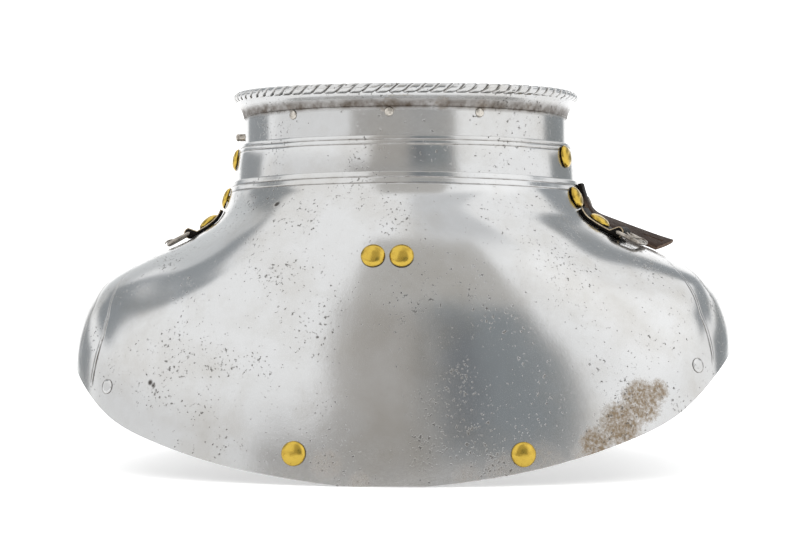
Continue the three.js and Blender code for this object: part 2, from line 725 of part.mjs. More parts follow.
const collarRivetAngles = [-37.6, -1.2, 30.2];
const backCollarRivetAngles = [145, 180, 215];
const sidePieces = [
  { side: 'left', pivot: -83, back: 253, centre: -3.4, lower: -17.5, corner: -56, cornerHeight: 38.4, chape: -80 },
  { side: 'right', pivot: 71.5, back: 107, centre: 3.4, lower: 26.5, corner: 60, cornerHeight: 48.4, chape: 73.5 },
];
const dome = { headRadius: domeRadius, headHeight: domeHeight, sides: 8, look: brass, seat: seatGap };
const steelHead = { ...dome, headRadius: steelRivetRadius, headHeight: steelRivetHeight, sides: 8, look: darkSteel };
const cornerHead = { ...steelHead, headRadius: cornerRivetRadius, headHeight: cornerRivetHeight, seat: cornerRivetSeat };

// One rivet on a face: depth is what it grips below the face, through lists the pieces it pierces.
function rivetOn(name, section, azimuth, height, head, depth, through) {
  const { point, normal } = faceAt(section, azimuth, height);
  return {
    ...head,
    name,
    through,
    direction: normal,
    point: point.clone().addScaledVector(normal, head.seat),
    grip: head.seat + depth + tailGap,
  };
}

// Depth from a face to the inside of the upright plate behind it, for a rivet that leans to it.
function depthThrough(section, inner, azimuth, height) {
  const { point, normal } = faceAt(section, azimuth, height);
  const outward = fromAxis(azimuth, 1, 0);
  const lean = normal.angleTo(outward);
  const behind = pointAt(inner, azimuth, height).dot(outward) - plateThickness;
  return (point.dot(outward) - behind) / Math.cos(lean) + tailRadius * Math.tan(lean);
}

function allRivets() {
  const one = plateThickness;
  const rivets = sidePieces.flatMap(({ side, pivot, back, centre, lower, corner, cornerHeight, chape: chapeAt }) => {
    const lowDome = { ...dome, seat: pivotSeat };
    const chapeDome = { ...dome, seat: chapeSeat + chapeThickness + chapeRivetSeat };
    return [
      rivetOn(`front_collar_pivot_${side}`, frontLame, pivot, collarPivotHeight, dome,
        depthThrough(frontLame, frontCollar, pivot, collarPivotHeight), ['front_neck_lame', 'front_collar']),
      rivetOn(`front_lame_pivot_${side}`, frontMain, pivot, lamePivotHeight, lowDome,
        depthThrough(frontMain, frontLame, pivot, lamePivotHeight), ['front_main_plate', 'front_neck_lame']),
      rivetOn(`back_collar_pivot_${side}`, backLame, back, collarPivotHeight, dome,
        depthThrough(backLame, backCollar, back, collarPivotHeight), ['back_neck_lame', 'back_collar']),
      rivetOn(`back_lame_pivot_${side}`, backMain, back, lamePivotHeight, lowDome,
        depthThrough(backMain, backLame, back, lamePivotHeight), ['back_main_plate', 'back_neck_lame']),
      rivetOn(`centre_rivet_${side}`, frontMain, centre, centreRivetHeight, dome, one, ['front_main_plate']),
      rivetOn(`lower_rivet_${side}`, frontMain, lower, lowerRivetHeight, dome, one, ['front_main_plate']),
      rivetOn(`corner_rivet_${side}`, frontMain, corner, cornerHeight, cornerHead, one, ['front_main_plate']),
      rivetOn(`chape_rivet_${side}`, frontMain, chapeAt, chapeRivetHeight, chapeDome,
        one, ['front_main_plate', `chape_${side}`]),
    ];
  });
  collarRivetAngles.forEach((azimuth, i) => {
    rivets.push(rivetOn(`collar_rivet_${i + 1}`, frontCollar, azimuth, collarRivetHeight, steelHead,
      one, ['front_collar']));
  });
  backCollarRivetAngles.forEach((azimuth, i) => {
    rivets.push(rivetOn(`back_collar_rivet_${i + 1}`, backCollar, azimuth, collarRivetHeight, steelHead,
      one, ['back_collar']));
  });
  const strapFace = faceOnLine(strapLine, strapRivetHeight);
  const strapHead = { ...steelHead, headRadius: strapRivetRadius, seat: strapSeat + strapThickness + 2 * seatGap };
  rivets.push(rivetOn('strap_rivet', frontMain, strapFace.azimuth, strapRivetHeight, strapHead,
    one, ['front_main_plate', 'shoulder_strap']));
  return rivets;
}

// The peg stands out of the back collar through the slot of the front collar.
function closingPeg() {
  const { point, normal } = faceAt(backCollar, pegAngle, pegHeight);
  const out = layer + pegReach;
  const inside = plateThickness + seatGap;
  const profile = [
    [0, -inside - tailHeight],
    [tailRadius, -inside - tailHeight * crownHeight],
    [tailRadius, -inside],
    [pegRadius, -inside],
    [pegRadius, out - pegChamfer],
    [pegRadius - pegChamfer, out],
    [0, out],
  ].map(([x, y]) => new THREE.Vector2(x, y));
  return {
    name: 'closing_peg',
    geometry: place(new THREE.LatheGeometry(profile, 10), point, normal),
    hole: hole(point, normal, pegRadius + seatGap, holeDepth),
  };
}

// Plates. The back half's corners are clipped where a front plate lies in the same layer.
const frontAzimuths = stations(-seamAngle, seamAngle, stationStep);
const clipped = seamAngle + clipAngle;
const rimStart = seamAngle + seamGap / (neckHalfWidth * degree);
const middleOfBack = stations(clipped + stationStep, 360 - clipped - stationStep, stationStep);
const backStations = (start) => [backStart, start, ...middleOfBack, 360 - start, 360 - backStart];
const backAzimuths = backStations(clipped);
const backRimAzimuths = backStations(rimStart);
const slotEnd = pegAngle + (pegRadius + slotClearance) / (neckHalfWidth * degree);
const slotAzimuths = [-seamAngle, slotEnd, ...stations(stationStep - seamAngle, seamAngle, stationStep)];
const slotRow = 3;
const clippedRows = 3;
const clippedUpperRows = 2;
const inLap = (i) => i === 0 || i === backAzimuths.length - 2;
const backCell = (i, j) => !(inLap(i) && j < clippedRows);
const backLameCell = (i, j) => !(inLap(i) && j < clippedUpperRows);
const backCollarCell = backLameCell;
const slottedCell = (i, j) => !(i === 0 && j === slotRow);

const pieces = {
  front_main_plate: { look: steel, geometry: sheet(frontAzimuths, frontMain, everywhere) },
  front_neck_lame: { look: steel, geometry: sheet(frontAzimuths, frontLame, everywhere) },
  front_collar: {
    look: steel,
    geometry: ropedCollar(slotAzimuths, frontCollar, slottedCell, [0, slotAzimuths.length - 1]),
  },
  back_main_plate: { look: steel, geometry: sheet(backAzimuths, backMain, backCell) },
  back_neck_lame: { look: steel, geometry: sheet(backAzimuths, backLame, backLameCell) },
  back_collar: {
    look: steel,
    geometry: ropedCollar(backRimAzimuths, backCollar, backCollarCell, [1, backRimAzimuths.length - 2]),
  },
  hinge_front_leaf: {
    look: darkSteel,
    geometry: hingeLeaf(frontMain, -1, hingeBottom, hingeBottom + (hingeLength - seatGap) / 2),
  },
  hinge_back_leaf: {
    look: darkSteel,
    geometry: hingeLeaf(backMain, 1, hingeTop - (hingeLength - seatGap) / 2, hingeTop),
  },
  hinge_pin: { look: darkSteel, geometry: hingePin() },
  shoulder_strap: { look: brownLeather, geometry: shoulderStrap() },
};
sidePieces.forEach(({ side, chape: azimuth }) => {
  pieces[`chape_${side}`] = { look: blackLeather, geometry: chape(azimuth) };
  pieces[`buckle_${side}`] = { look: darkSteel, geometry: buckle(azimuth) };
  pieces[`buckle_tongue_${side}`] = { look: darkSteel, geometry: buckleTongue(azimuth) };
});

const peg = closingPeg();
const holes = { back_collar: [peg.hole] };
pieces[peg.name] = { look: darkSteel, geometry: peg.geometry };
allRivets().forEach((r) => {
  pieces[r.name] = { look: r.look, geometry: place(rivetGeometry(r), r.point, r.direction) };
  r.through.forEach((name) => {
    holes[name] = [...(holes[name] ?? []), hole(r.point, r.direction, shankRadius + seatGap, r.grip + holeDepth)];
  });
});

const gorget = new THREE.Group();
gorget.name = 'gorget';
Object.entries(pieces).forEach(([name, { look, geometry }]) => {
  const mesh = new THREE.Mesh(holes[name] ? cut(geometry, holes[name]) : geometry);
  mesh.material = new THREE.MeshStandardMaterial({ ...look, flatShading: true });
  mesh.name = name;
  gorget.add(mesh);
});

// The origin is the middle of the whole outline, on the ground.
const outline = new THREE.Box3().setFromObject(gorget);
const middle = outline.getCenter(new THREE.Vector3());
gorget.position.set(-middle.x, -middle.y, -outline.min.z);
gorget.updateMatrixWorld(true);

export default gorget;
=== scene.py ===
"""Steel gorget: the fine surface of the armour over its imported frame, with a plain studio.

The gorget's front faces -Y. Azimuth is measured round the neck in degrees, 0 at the front and 90 at +X.
Sizes are in metres. "Out" is the level distance from the neck's axis.
"""

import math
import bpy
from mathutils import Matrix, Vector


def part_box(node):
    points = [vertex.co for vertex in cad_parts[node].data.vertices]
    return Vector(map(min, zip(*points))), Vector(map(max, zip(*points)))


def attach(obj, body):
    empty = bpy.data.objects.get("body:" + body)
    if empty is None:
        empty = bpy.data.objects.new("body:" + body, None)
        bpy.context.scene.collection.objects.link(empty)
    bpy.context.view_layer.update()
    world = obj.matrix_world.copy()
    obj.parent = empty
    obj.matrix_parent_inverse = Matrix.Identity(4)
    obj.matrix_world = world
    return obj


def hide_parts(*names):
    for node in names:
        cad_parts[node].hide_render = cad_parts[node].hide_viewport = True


bl_info = {
    "name": "Steel gorget",
    "version": (1, 0, 0),
    "blender": (4, 5, 0),
    "location": "View3D > Sidebar > Gorget",
    "description": "Builds a polished steel gorget with brass rivets, leathers and a plain studio",
    "category": "Object",
}

import bmesh
import bpy
import numpy as np
from bpy.props import FloatProperty, FloatVectorProperty, PointerProperty
from mathutils import Vector, noise

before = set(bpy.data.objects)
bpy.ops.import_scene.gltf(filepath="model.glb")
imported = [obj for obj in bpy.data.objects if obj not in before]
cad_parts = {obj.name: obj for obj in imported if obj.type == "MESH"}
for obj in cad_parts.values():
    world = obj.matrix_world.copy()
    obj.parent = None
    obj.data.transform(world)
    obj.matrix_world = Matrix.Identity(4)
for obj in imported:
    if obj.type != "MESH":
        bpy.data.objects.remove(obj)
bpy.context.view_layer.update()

MM = 0.001

# The neck's axis in the frame: the lame is the same on both sides of it, and the back half's
# flaps start level with it.
LAME_LOW, LAME_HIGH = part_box("front_neck_lame")
NECK_AXIS = Vector(((LAME_LOW.x + LAME_HIGH.x) / 2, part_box("back_neck_lame")[0].y, 0))

# Outline of the main plate's edge. Columns: turn from the middle in degrees, share of the way from
# the middle's reach to the side's, share of the side's rise.
FRONT_OUTLINE = (
    (0, 0, 0), (8, 0.018, 0), (15, 0.067, 0.031), (30, 0.298, 0.135), (45, 0.688, 0.323),
    (55, 0.982, 0.519), (65, 1.16, 0.82), (75, 1.12, 0.965), (90, 1, 1),
)
BACK_OUTLINE = (
    (0, 0, 0), (8, 0, 0), (15, 0.03, 0.031), (30, 0.165, 0.17), (45, 0.41, 0.42),
    (60, 0.7, 0.71), (75, 0.93, 0.93), (90, 1, 1),
)
# Sections of the main plate from its upper edge down. Columns: share of the way out, share of the
# height, and the same two over the shoulder.
MAIN_SECTIONS = (
    (0, 1, 0, 1), (0.03, 0.962, 0.016, 0.938), (0.1, 0.917, 0.045, 0.856),
    (0.211, 0.868, 0.095, 0.775), (0.339, 0.812, 0.188, 0.712), (0.466, 0.744, 0.318, 0.649),
    (0.587, 0.662, 0.49, 0.582), (0.694, 0.564, 0.655, 0.513), (0.782, 0.451, 0.792, 0.441),
    (0.861, 0.331, 0.878, 0.359), (0.928, 0.203, 0.935, 0.264), (0.974, 0.09, 0.978, 0.139),
    (1, 0, 1, 0),
)
# The lame's flare down its height, and the collar's flare under its rim as (share of the height
# above the foot, share of the rim's overhang).
LAME_FLARE = ((0, 0), (0.2, 0.6), (0.45, 0.95), (1, 1))
COLLAR_FLARE = (
    (1, 1.2), (0.9, 1.16), (0.78, 1.04), (0.66, 0.84), (0.54, 0.62), (0.42, 0.45), (0.28, 0.31),
    (0.12, 0.21), (0.03, 0.18), (0, 0.02),
)


def linear(code):
    """Linear colour of an sRGB hex value."""
    shares = [int(code[i:i + 2], 16) / 255 for i in (1, 3, 5)]
    return [s / 12.92 if s <= 0.04045 else ((s + 0.055) / 1.055) ** 2.4 for s in shares] + [1.0]


def length(name, description, millimetres):
    return FloatProperty(name=name, description=description, default=millimetres * MM,
                         min=0.0, subtype="DISTANCE", unit="LENGTH", precision=4)


def colour(name, description, code):
    return FloatVectorProperty(name=name, description=description, default=linear(code),
                               size=4, min=0.0, max=1.0, subtype="COLOR")


class GorgetPlateSizes(bpy.types.PropertyGroup):
    """Sizes of the six plates."""
    thickness: length("Plate thickness", "Thickness of the steel", 1.2)
    fit_gap: length("Fit gap", "Clearance between plates that lie over each other", 0.8)
    front_reach: length("Front reach", "Neck axis to the lower edge at the front", 124)
    back_reach: length("Back reach", "Neck axis to the lower edge at the back", 116)
    side_reach: length("Side reach", "Neck axis to the lower edge at the shoulders", 152.5)
    side_rise: length("Side rise", "Height of the lower edge at the shoulders", 52)
    edge_lean: length("Edge lean", "How much higher the edge lies on the wearer's left", 2.5)
    main_top: length("Main plate top", "Height of the main plate's upper edge", 133)
    main_top_drop: length("Top drop", "How much lower that edge lies at the sides", 1.6)
    neck_half_width: length("Neck half width", "Half the collar's width", 77)
    neck_oval: length("Neck oval", "How much less deep than wide the neck is on each side", 2)
    lame_top: length("Lame top", "Height of the neck lame's upper edge", 149)
    lame_bottom: length("Lame bottom", "Height of the neck lame's lower edge", 118)
    lame_flare: length("Lame flare", "How far the lame widens downwards", 2)
    collar_bottom: length("Collar bottom", "Height of the collar's lower edge", 137)
    collar_foot: length("Collar foot", "Height where the collar's rim starts to flare", 161.8)
    rim_height: length("Rim height", "Height of the middle of the roped rim", 171.4)
    rim_dip: length("Rim dip", "How much lower the rim lies at the front", 1.8)
    rim_radius: length("Rim radius", "Radius of the roped rim", 2.3)
    rim_flare: length("Rim flare", "How far the rim's middle stands out of the collar", 3.3)
    rope_pitch: length("Rope pitch", "Distance between two grooves of the rope", 6)
    rope_depth: length("Rope depth", "Depth of the rope's grooves", 0.75)
    groove_depth: length("Groove depth", "Depth of the incised lines", 0.16)
    wobble: length("Hammer wobble", "How far the hammered surface strays from its form", 0.28)


class GorgetFittingSizes(bpy.types.PropertyGroup):
    """Sizes of the rivets, leathers, buckles and hinge."""
    dome_radius: length("Dome radius", "Radius of a brass rivet's head", 5.3)
    dome_height: length("Dome height", "Height of a brass rivet's head", 2.7)
    steel_radius: length("Steel rivet radius", "Radius of a rivet under the rim", 2.1)
    corner_radius: length("Corner rivet radius", "Radius of a flush rivet near the edge", 3.3)
    peg_radius: length("Peg radius", "Radius of the closing peg", 1.85)
    peg_reach: length("Peg reach", "How far the peg stands out of the collar", 6)
    slot_clearance: length("Slot clearance", "Room round the peg in its slot", 1.6)
    chape_width: length("Chape width", "Width of the leather that holds a buckle", 14)
    chape_thickness: length("Chape thickness", "Thickness of that leather", 1.7)
    buckle_length: length("Buckle length", "Length of a buckle's frame", 13)
    buckle_width: length("Buckle width", "Width of a buckle's frame", 21)
    buckle_wire: length("Buckle wire", "Half the width of the buckle's rails", 1.3)
    strap_width: length("Strap width", "Width of the shoulder strap", 18)
    strap_thickness: length("Strap thickness", "Thickness of the shoulder strap", 2)
    slit_length: length("Slit length", "Length of the slit in the strap", 9)
    slit_width: length("Slit width", "Width of the slit in the strap", 1.6)


class GorgetFinish(bpy.types.PropertyGroup):
    """Colours of the metals and leathers."""
    steel: colour("Steel", "Polished steel plate", "#BCBDBE")
    tarnish: colour("Tarnish", "Warm grey film on the steel", "#9A958C")
    pit: colour("Pit", "Dark bottom of a rust pit", "#4C4946")
    rust: colour("Rust", "Brown stain near the edge", "#75634A")
    # This colour is also the painted shade in the hollow under the collar's rim.
    grime_and_shade: colour("Grime", "Dirt in grooves and corners", "#4A4036")
    inside: colour("Inside", "Unpolished inner faces", "#6E6E6D")
    fitting: colour("Fittings", "Worn steel of buckles, pegs and hinge", "#ADA79F")
    brass: colour("Brass", "Polished brass", "#B79B44")
    black_leather: colour("Black leather", "Face of the chapes", "#1C1815")
    cut_leather: colour("Cut leather", "Pale cut edge of the leather", "#CDBFA4")
    brown_leather: colour("Brown leather", "Face of the strap", "#36271D")


class GorgetStudio(bpy.types.PropertyGroup):
    """Camera and light."""
    azimuth: FloatProperty(name="Camera azimuth", description="Turn of the camera round the gorget",
                           default=math.radians(4.5), subtype="ANGLE", unit="ROTATION")
    distance: length("Camera distance", "Neck axis to camera", 867)
    height: length("Camera height", "Height of the camera over the floor", 91)
    aside: length("Camera offset", "How far the camera stands to its own left", 2.65)
    lens: FloatProperty(name="Focal length", description="In millimetres, on a 36 mm sensor", default=81.0,
                        unit="CAMERA")
    surround: FloatProperty(name="Surround", description="Brightness of the white surround", default=1.75,
                            min=0.0, max=10.0, subtype="FACTOR")
    floor: colour("Floor", "Pale floor", "#F4F4F4")
    floor_glow: FloatProperty(name="Floor glow", description="Light that the white board gives of itself",
                              default=0.45, min=0.0, max=10.0, subtype="FACTOR")


# Curves and sections

def spline(places, values, at):
    """Natural cubic spline through the values, evaluated at the places asked for."""
    x, y, at = (np.asarray(numbers, float) for numbers in (places, values, at))
    step = np.diff(x)
    count = len(x)
    matrix = np.zeros((count, count))
    right = np.zeros(count)
    matrix[0, 0] = matrix[-1, -1] = 1
    for i in range(1, count - 1):
        matrix[i, i - 1:i + 2] = step[i - 1], 2 * (step[i - 1] + step[i]), step[i]
        right[i] = 6 * ((y[i + 1] - y[i]) / step[i] - (y[i] - y[i - 1]) / step[i - 1])
    bend = np.linalg.solve(matrix, right)
    i = np.clip(np.searchsorted(x, at) - 1, 0, count - 2)
    t, h = at - x[i], step[i]
    slope = (y[i + 1] - y[i]) / h - h * (2 * bend[i] + bend[i + 1]) / 6
    return y[i] + t * slope + t * t * bend[i] / 2 + t ** 3 * (bend[i + 1] - bend[i]) / (6 * h)


def ease(t):
    """From 0 to 1 with no kink at either end."""
    t = np.clip(t, 0, 1)
    return t ** 3 * (t * (6 * t - 15) + 10)


def round_the_neck(column, at_front, at_back, azimuths):
    """A column of the outline tables as lengths at azimuths, smooth all the way round."""
    half = [(row[0], at_front(row[column])) for row in FRONT_OUTLINE]
    half += [(180 - row[0], at_back(row[column])) for row in reversed(BACK_OUTLINE)][1:]
    whole = [(-turn, value) for turn, value in reversed(half[1:])] + half
    before = [(turn - 360, value) for turn, value in whole[:-1]]
    after = [(turn + 360, value) for turn, value in whole[1:]]
    turns, values = zip(*(before + whole + after))
    return spline(turns, values, azimuths)


def neck_out(azimuths, half_width, oval):
    """Distance from the axis of an upright oval with this half width."""
    angle = np.radians(azimuths)
    return 1 / np.hypot(np.sin(angle) / half_width, np.cos(angle) / (half_width - oval))


class Forms:
    """The sections of the plates, for the sizes in the panel. Each gives out and height, [azimuth, row]."""

    def __init__(self, sizes):
        self.sizes = sizes
        self.layer = sizes.thickness + sizes.fit_gap

    def main(self, azimuths, rows=260):
        s = self.sizes
        sine = np.sin(np.radians(azimuths))
        turn = np.abs((np.asarray(azimuths) + 180) % 360 - 180)
        turn = np.where(turn > 90, 180 - turn, turn)
        reach = round_the_neck(1, lambda v: s.front_reach + v * (s.side_reach - s.front_reach),
                               lambda v: s.back_reach + v * (s.side_reach - s.back_reach), azimuths)
        rise = round_the_neck(2, lambda v: v * s.side_rise, lambda v: v * s.side_rise, azimuths)
        rise = np.where(turn <= LEVEL_EDGE, 0, np.maximum(rise, 0) + s.edge_lean * sine ** 3)
        top = s.main_top - s.main_top_drop * sine ** 2
        neck = neck_out(azimuths, s.neck_half_width + 2 * self.layer + 0.95 * s.lame_flare, s.neck_oval)
        shoulder = ease((turn - SHOULDER_FROM) / (SHOULDER_FULL - SHOULDER_FROM))[:, None]
        place = np.linspace(0, len(MAIN_SECTIONS) - 1, rows)
        front_out, front_up, side_out, side_up = (
            spline(np.arange(len(MAIN_SECTIONS)), column, place) for column in zip(*MAIN_SECTIONS))
        share_out = front_out + (side_out - front_out) * shoulder
        share_up = front_up + (side_up - front_up) * shoulder
        out = neck[:, None] + (reach - neck)[:, None] * share_out
        height = rise[:, None] + (top - rise)[:, None] * share_up
        return out, height

    def lame(self, azimuths, rows=80):
        s = self.sizes
        down = np.linspace(0, 1, rows)
        shares, flares = zip(*LAME_FLARE)
        flare = s.lame_flare * spline(shares, flares, down)
        neck = neck_out(azimuths, s.neck_half_width + self.layer, s.neck_oval)
        height = s.lame_top + (s.lame_bottom - s.lame_top) * down
        return neck[:, None] + flare[None, :], np.repeat(height[None, :], len(neck), 0)

    def rim(self, azimuths):
        s = self.sizes
        cosine = np.maximum(0, np.cos(np.radians(azimuths)))
        out = neck_out(azimuths, s.neck_half_width + s.rim_flare, s.neck_oval)
        return out, s.rim_height - s.rim_dip * cosine ** 2

    def collar(self, azimuths, inset):
        """Rows: the hollow under the rim, a small step at its foot, and the upright wall."""
        s = self.sizes
        rim_out, rim_up = self.rim(azimuths)
        wall = neck_out(azimuths, s.neck_half_width - inset, s.neck_oval)
        overhang = rim_out - wall
        top = rim_up - 0.62 * s.rim_radius
        out = [wall + overhang * flare for _, flare in COLLAR_FLARE]
        height = [s.collar_foot + (top - s.collar_foot) * share for share, _ in COLLAR_FLARE]
        for level in self.wall_levels():
            out.append(wall)
            height.append(np.full_like(wall, level))
        return np.stack(out, 1), np.stack(height, 1)

    def slot_levels(self):
        fittings = bpy.context.scene.gorget_fittings
        half = fittings.peg_radius + fittings.slot_clearance
        return PEG_HEIGHT + half, PEG_HEIGHT - half

    def wall_levels(self):
        s = self.sizes
        high, low = self.slot_levels()
        above = np.linspace(s.collar_foot - 0.6 * MM, high, 4)
        within = np.linspace(high, low, 5)[1:]
        below = np.linspace(low, s.collar_bottom, 9)[1:]
        return np.concatenate([above, within, below])


PEG_HEIGHT = 154 * MM
PEG_AZIMUTH = -93
LEVEL_EDGE = 8             # the lower edge lies level up to this turn from the middle
SHOULDER_FROM = 20         # turns between which the section changes from the breast's to the shoulder's
SHOULDER_FULL = 85
SEAM = 96                  # azimuth of the front half's rear edge
LAP_START = 90             # the back half runs under the front half from here
CLIPPED = 97               # the back half stands at full height from here
USUAL_OUT = 100 * MM       # a usual distance from the axis, for turning lengths into turns


def inset_by(out, height, distance):
    """Moves rows inwards, square to the section. The end rows keep their heights."""
    run = np.gradient(out, axis=1)
    fall = -np.gradient(height, axis=1)
    size = np.hypot(run, fall)
    distance = np.broadcast_to(distance, out.shape)
    new_out = out - distance * fall / size
    new_height = height - distance * run / size
    for end in (0, -1):
        slope = np.maximum(fall[:, end], 0.35 * size[:, end]) / size[:, end]
        new_out[:, end] = out[:, end] - distance[:, end] / slope
        new_height[:, end] = height[:, end]
    return new_out, new_height


def relaid(out, height, from_top, middle, from_edge):
    """Lays rows at set distances along each section from its top and its edge, and evenly between.
    Returns out, height and the distance of each row from the top and from the edge."""
    steps = np.hypot(np.diff(out, axis=1), np.diff(height, axis=1))
    along = np.concatenate([np.zeros((len(out), 1)), np.cumsum(steps, axis=1)], axis=1)
    places = []
    for total in along[:, -1]:
        between = np.linspace(from_top[-1], total - from_edge[0], middle + 2)[1:-1]
        places.append(np.concatenate([from_top, between, total - from_edge]))
    places = np.array(places)
    new_out = np.array([np.interp(p, line, o) for p, line, o in zip(places, along, out)])
    new_height = np.array([np.interp(p, line, h) for p, line, h in zip(places, along, height)])
    return new_out, new_height, places, along[:, -1:] - places


def stations(start, end, step=1.0):
    return np.linspace(start, end, max(2, int(round((end - start) / step)) + 1))


def points(azimuths, out, height):
    """Places in the frame, [azimuth, row, xyz]."""
    angle = np.radians(azimuths)[:, None]
    xyz = np.stack([out * np.sin(angle), -out * np.cos(angle), height], axis=-1)
    return xyz + np.array(NECK_AXIS)


def hammered(grid, amount):
    """The wobble of a hand-planished plate at each point: long swells with a few shorter ones."""
    swell, ripple, aside = 1 / (46 * MM), 1 / (17 * MM), Vector((7, 3, 5))
    found = [noise.noise(Vector(p) * swell) + 0.28 * noise.noise(Vector(p) * ripple + aside)
             for p in grid.reshape(-1, 3)]
    return amount * np.array(found).reshape(grid.shape[:2])


def groove(distance, centre, half_width=0.33 * MM):
    """1 at the middle of an incised line, 0 beside it."""
    return np.clip(1 - np.abs(distance - centre) / half_width, 0, 1)


# Meshes

def slab(outer, inner, keep=None):
    """Closed sheet between two grids of points, [column][row]. keep marks the filled cells."""
    columns, rows = outer.shape[:2]
    keep = np.ones((columns - 1, rows - 1), bool) if keep is None else keep
    vertices = np.concatenate([outer.reshape(-1, 3), inner.reshape(-1, 3)])
    far = columns * rows
    padded = np.zeros((columns + 1, rows + 1), bool)
    padded[1:-1, 1:-1] = keep
    faces, inside = [], []
    for i in range(columns - 1):
        for j in range(rows - 1):
            if not keep[i, j]:
                continue
            a, b, c, d = i * rows + j, i * rows + j + 1, (i + 1) * rows + j + 1, (i + 1) * rows + j
            faces.append((a, b, c, d))
            faces.append((far + a, far + d, far + c, far + b))
            inside += [0, 1]
            borders = ((padded[i, j + 1], a, b), (padded[i + 1, j + 2], b, c),
                       (padded[i + 2, j + 1], c, d), (padded[i + 1, j], d, a))
            for filled, p, q in borders:
                if not filled:
                    faces.append((q, p, far + p, far + q))
                    inside.append(0)
    return vertices, faces, inside


def ring_faces(count, sides, closed=False):
    """Faces between rings of vertices that follow each other, with a face over each open end."""
    faces = []
    for i in range(count if closed else count - 1):
        k = (i + 1) % count
        for j in range(sides):
            m = (j + 1) % sides
            faces.append((i * sides + j, i * sides + m, k * sides + m, k * sides + j))
    if not closed:
        faces.append(tuple(reversed(range(sides))))
        faces.append(tuple(range((count - 1) * sides, count * sides)))
    return faces


def tube(path, sideways, upwards, wide, high, sides, closed=False):
    """Sweeps an oval along a path. sideways and upwards are unit directions at each point."""
    path, sideways, upwards = (np.asarray(a, float) for a in (path, sideways, upwards))
    wide, high = np.broadcast_to(wide, len(path)), np.broadcast_to(high, len(path))
    turn = np.linspace(0, 2 * np.pi, sides, endpoint=False)
    rings = (path[:, None] + (wide[:, None] * np.cos(turn))[..., None] * sideways[:, None]
             + (high[:, None] * np.sin(turn))[..., None] * upwards[:, None])
    return rings.reshape(-1, 3), ring_faces(len(path), sides, closed)


def outside_only(values):
    """Values for the outer grid of a slab, with none on its inner grid."""
    flat = values.reshape(-1, *values.shape[2:])
    return np.concatenate([flat, np.zeros_like(flat)])


def turned(profile, sides):
    """Lathe of (radius, height) points about +Z, from its lowest end to its highest, both on the axis."""
    turn = [2 * math.pi * k / sides for k in range(sides)]
    rings = profile[1:-1]
    vertices = [(0, 0, profile[0][1])]
    for radius, height in rings:
        vertices += [(radius * math.cos(t), radius * math.sin(t), height) for t in turn]
    vertices.append((0, 0, profile[-1][1]))
    faces = []
    for k in range(sides):
        m = (k + 1) % sides
        faces.append((0, 1 + m, 1 + k))
        for r in range(len(rings) - 1):
            a, b = 1 + r * sides, 1 + (r + 1) * sides
            faces.append((a + k, a + m, b + m, b + k))
        top = 1 + (len(rings) - 1) * sides
        faces.append((top + k, top + m, len(vertices) - 1))
    return np.array(vertices, float), faces


def turned_ring(profile, sides):
    """Lathe of a closed loop of (radius, height) points about +Z, open along the axis."""
    turn = np.linspace(0, 2 * np.pi, sides, endpoint=False)
    vertices = [(radius * math.cos(t), radius * math.sin(t), height)
                for t in turn for radius, height in profile]
    return np.array(vertices), ring_faces(sides, len(profile), closed=True)


def placed(vertices, point, direction):
    """Stands a shape made about +Z on a point, along a direction."""
    turn = Vector((0, 0, 1)).rotation_difference(Vector(direction)).to_matrix()
    return np.asarray(vertices) @ np.array(turn).T + np.array(point)


def merged(*parts):
    """Puts several (vertices, faces[, slots]) together as one."""
    vertices, faces, slots = [], [], []
    start = 0
    for part in parts:
        vertices.append(np.asarray(part[0], float))
        faces += [tuple(v + start for v in face) for face in part[1]]
        slots += list(part[2]) if len(part) > 2 else [0] * len(part[1])
        start += len(part[0])
    return np.concatenate(vertices), faces, slots


def make_piece(name, shape, finishes, body, node, bevel=0.0, sharp=40, shades=None):
    """A mesh object from (vertices, faces[, material numbers]) that stands for a node of the frame.
    finishes name its materials, and shades are values at each vertex, by name, that they read."""
    mesh = bpy.data.meshes.new(name)
    mesh.from_pydata([tuple(v) for v in shape[0]], [], shape[1])
    for shade, values in (shades or {}).items():
        values = np.asarray(values, float)
        if values.ndim == 1:
            mesh.attributes.new(shade, "FLOAT", "POINT").data.foreach_set("value", values)
        else:
            mesh.attributes.new(shade, "FLOAT_VECTOR", "POINT").data.foreach_set("vector", values.ravel())
    for finish in finishes:
        mesh.materials.append(material(finish))
    if len(shape) > 2:
        mesh.polygons.foreach_set("material_index", shape[2])
    work = bmesh.new()
    work.from_mesh(mesh)
    bmesh.ops.recalc_face_normals(work, faces=work.faces)
    if bevel:
        edges = [e for e in work.edges if e.is_manifold and e.calc_face_angle(0) > math.radians(55)]
        bmesh.ops.bevel(work, geom=edges, offset=bevel, segments=2, profile=0.5, affect="EDGES",
                        clamp_overlap=True)
    work.to_mesh(mesh)
    work.free()
    mesh.shade_smooth()
    mesh.set_sharp_from_angle(angle=math.radians(sharp))
    piece = bpy.data.objects.new(name, mesh)
    bpy.context.scene.collection.objects.link(piece)
    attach(piece, body)
    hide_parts(node)
    return piece


# Materials

def add(tree, kind, inputs=None, output=0, **settings):
    """Adds a node with its settings, sets or links its inputs, and gives one of its outputs."""
    made = tree.nodes.new("ShaderNode" + kind)
    for name, value in settings.items():
        setattr(made, name, value)
    for key, value in (inputs or {}).items():
        if isinstance(value, bpy.types.NodeSocket):
            tree.links.new(value, made.inputs[key])
        else:
            made.inputs[key].default_value = value
    return made.outputs[output]


def new_material(name):
    """An empty material with its shader and output. Gives material, tree and shader."""
    material = bpy.data.materials.get(name) or bpy.data.materials.new(name)
    material.use_nodes = True
    tree = material.node_tree
    tree.nodes.clear()
    shader = tree.nodes.new("ShaderNodeBsdfPrincipled")
    end = tree.nodes.new("ShaderNodeOutputMaterial")
    tree.links.new(shader.outputs[0], end.inputs[0])
    return material, tree, shader


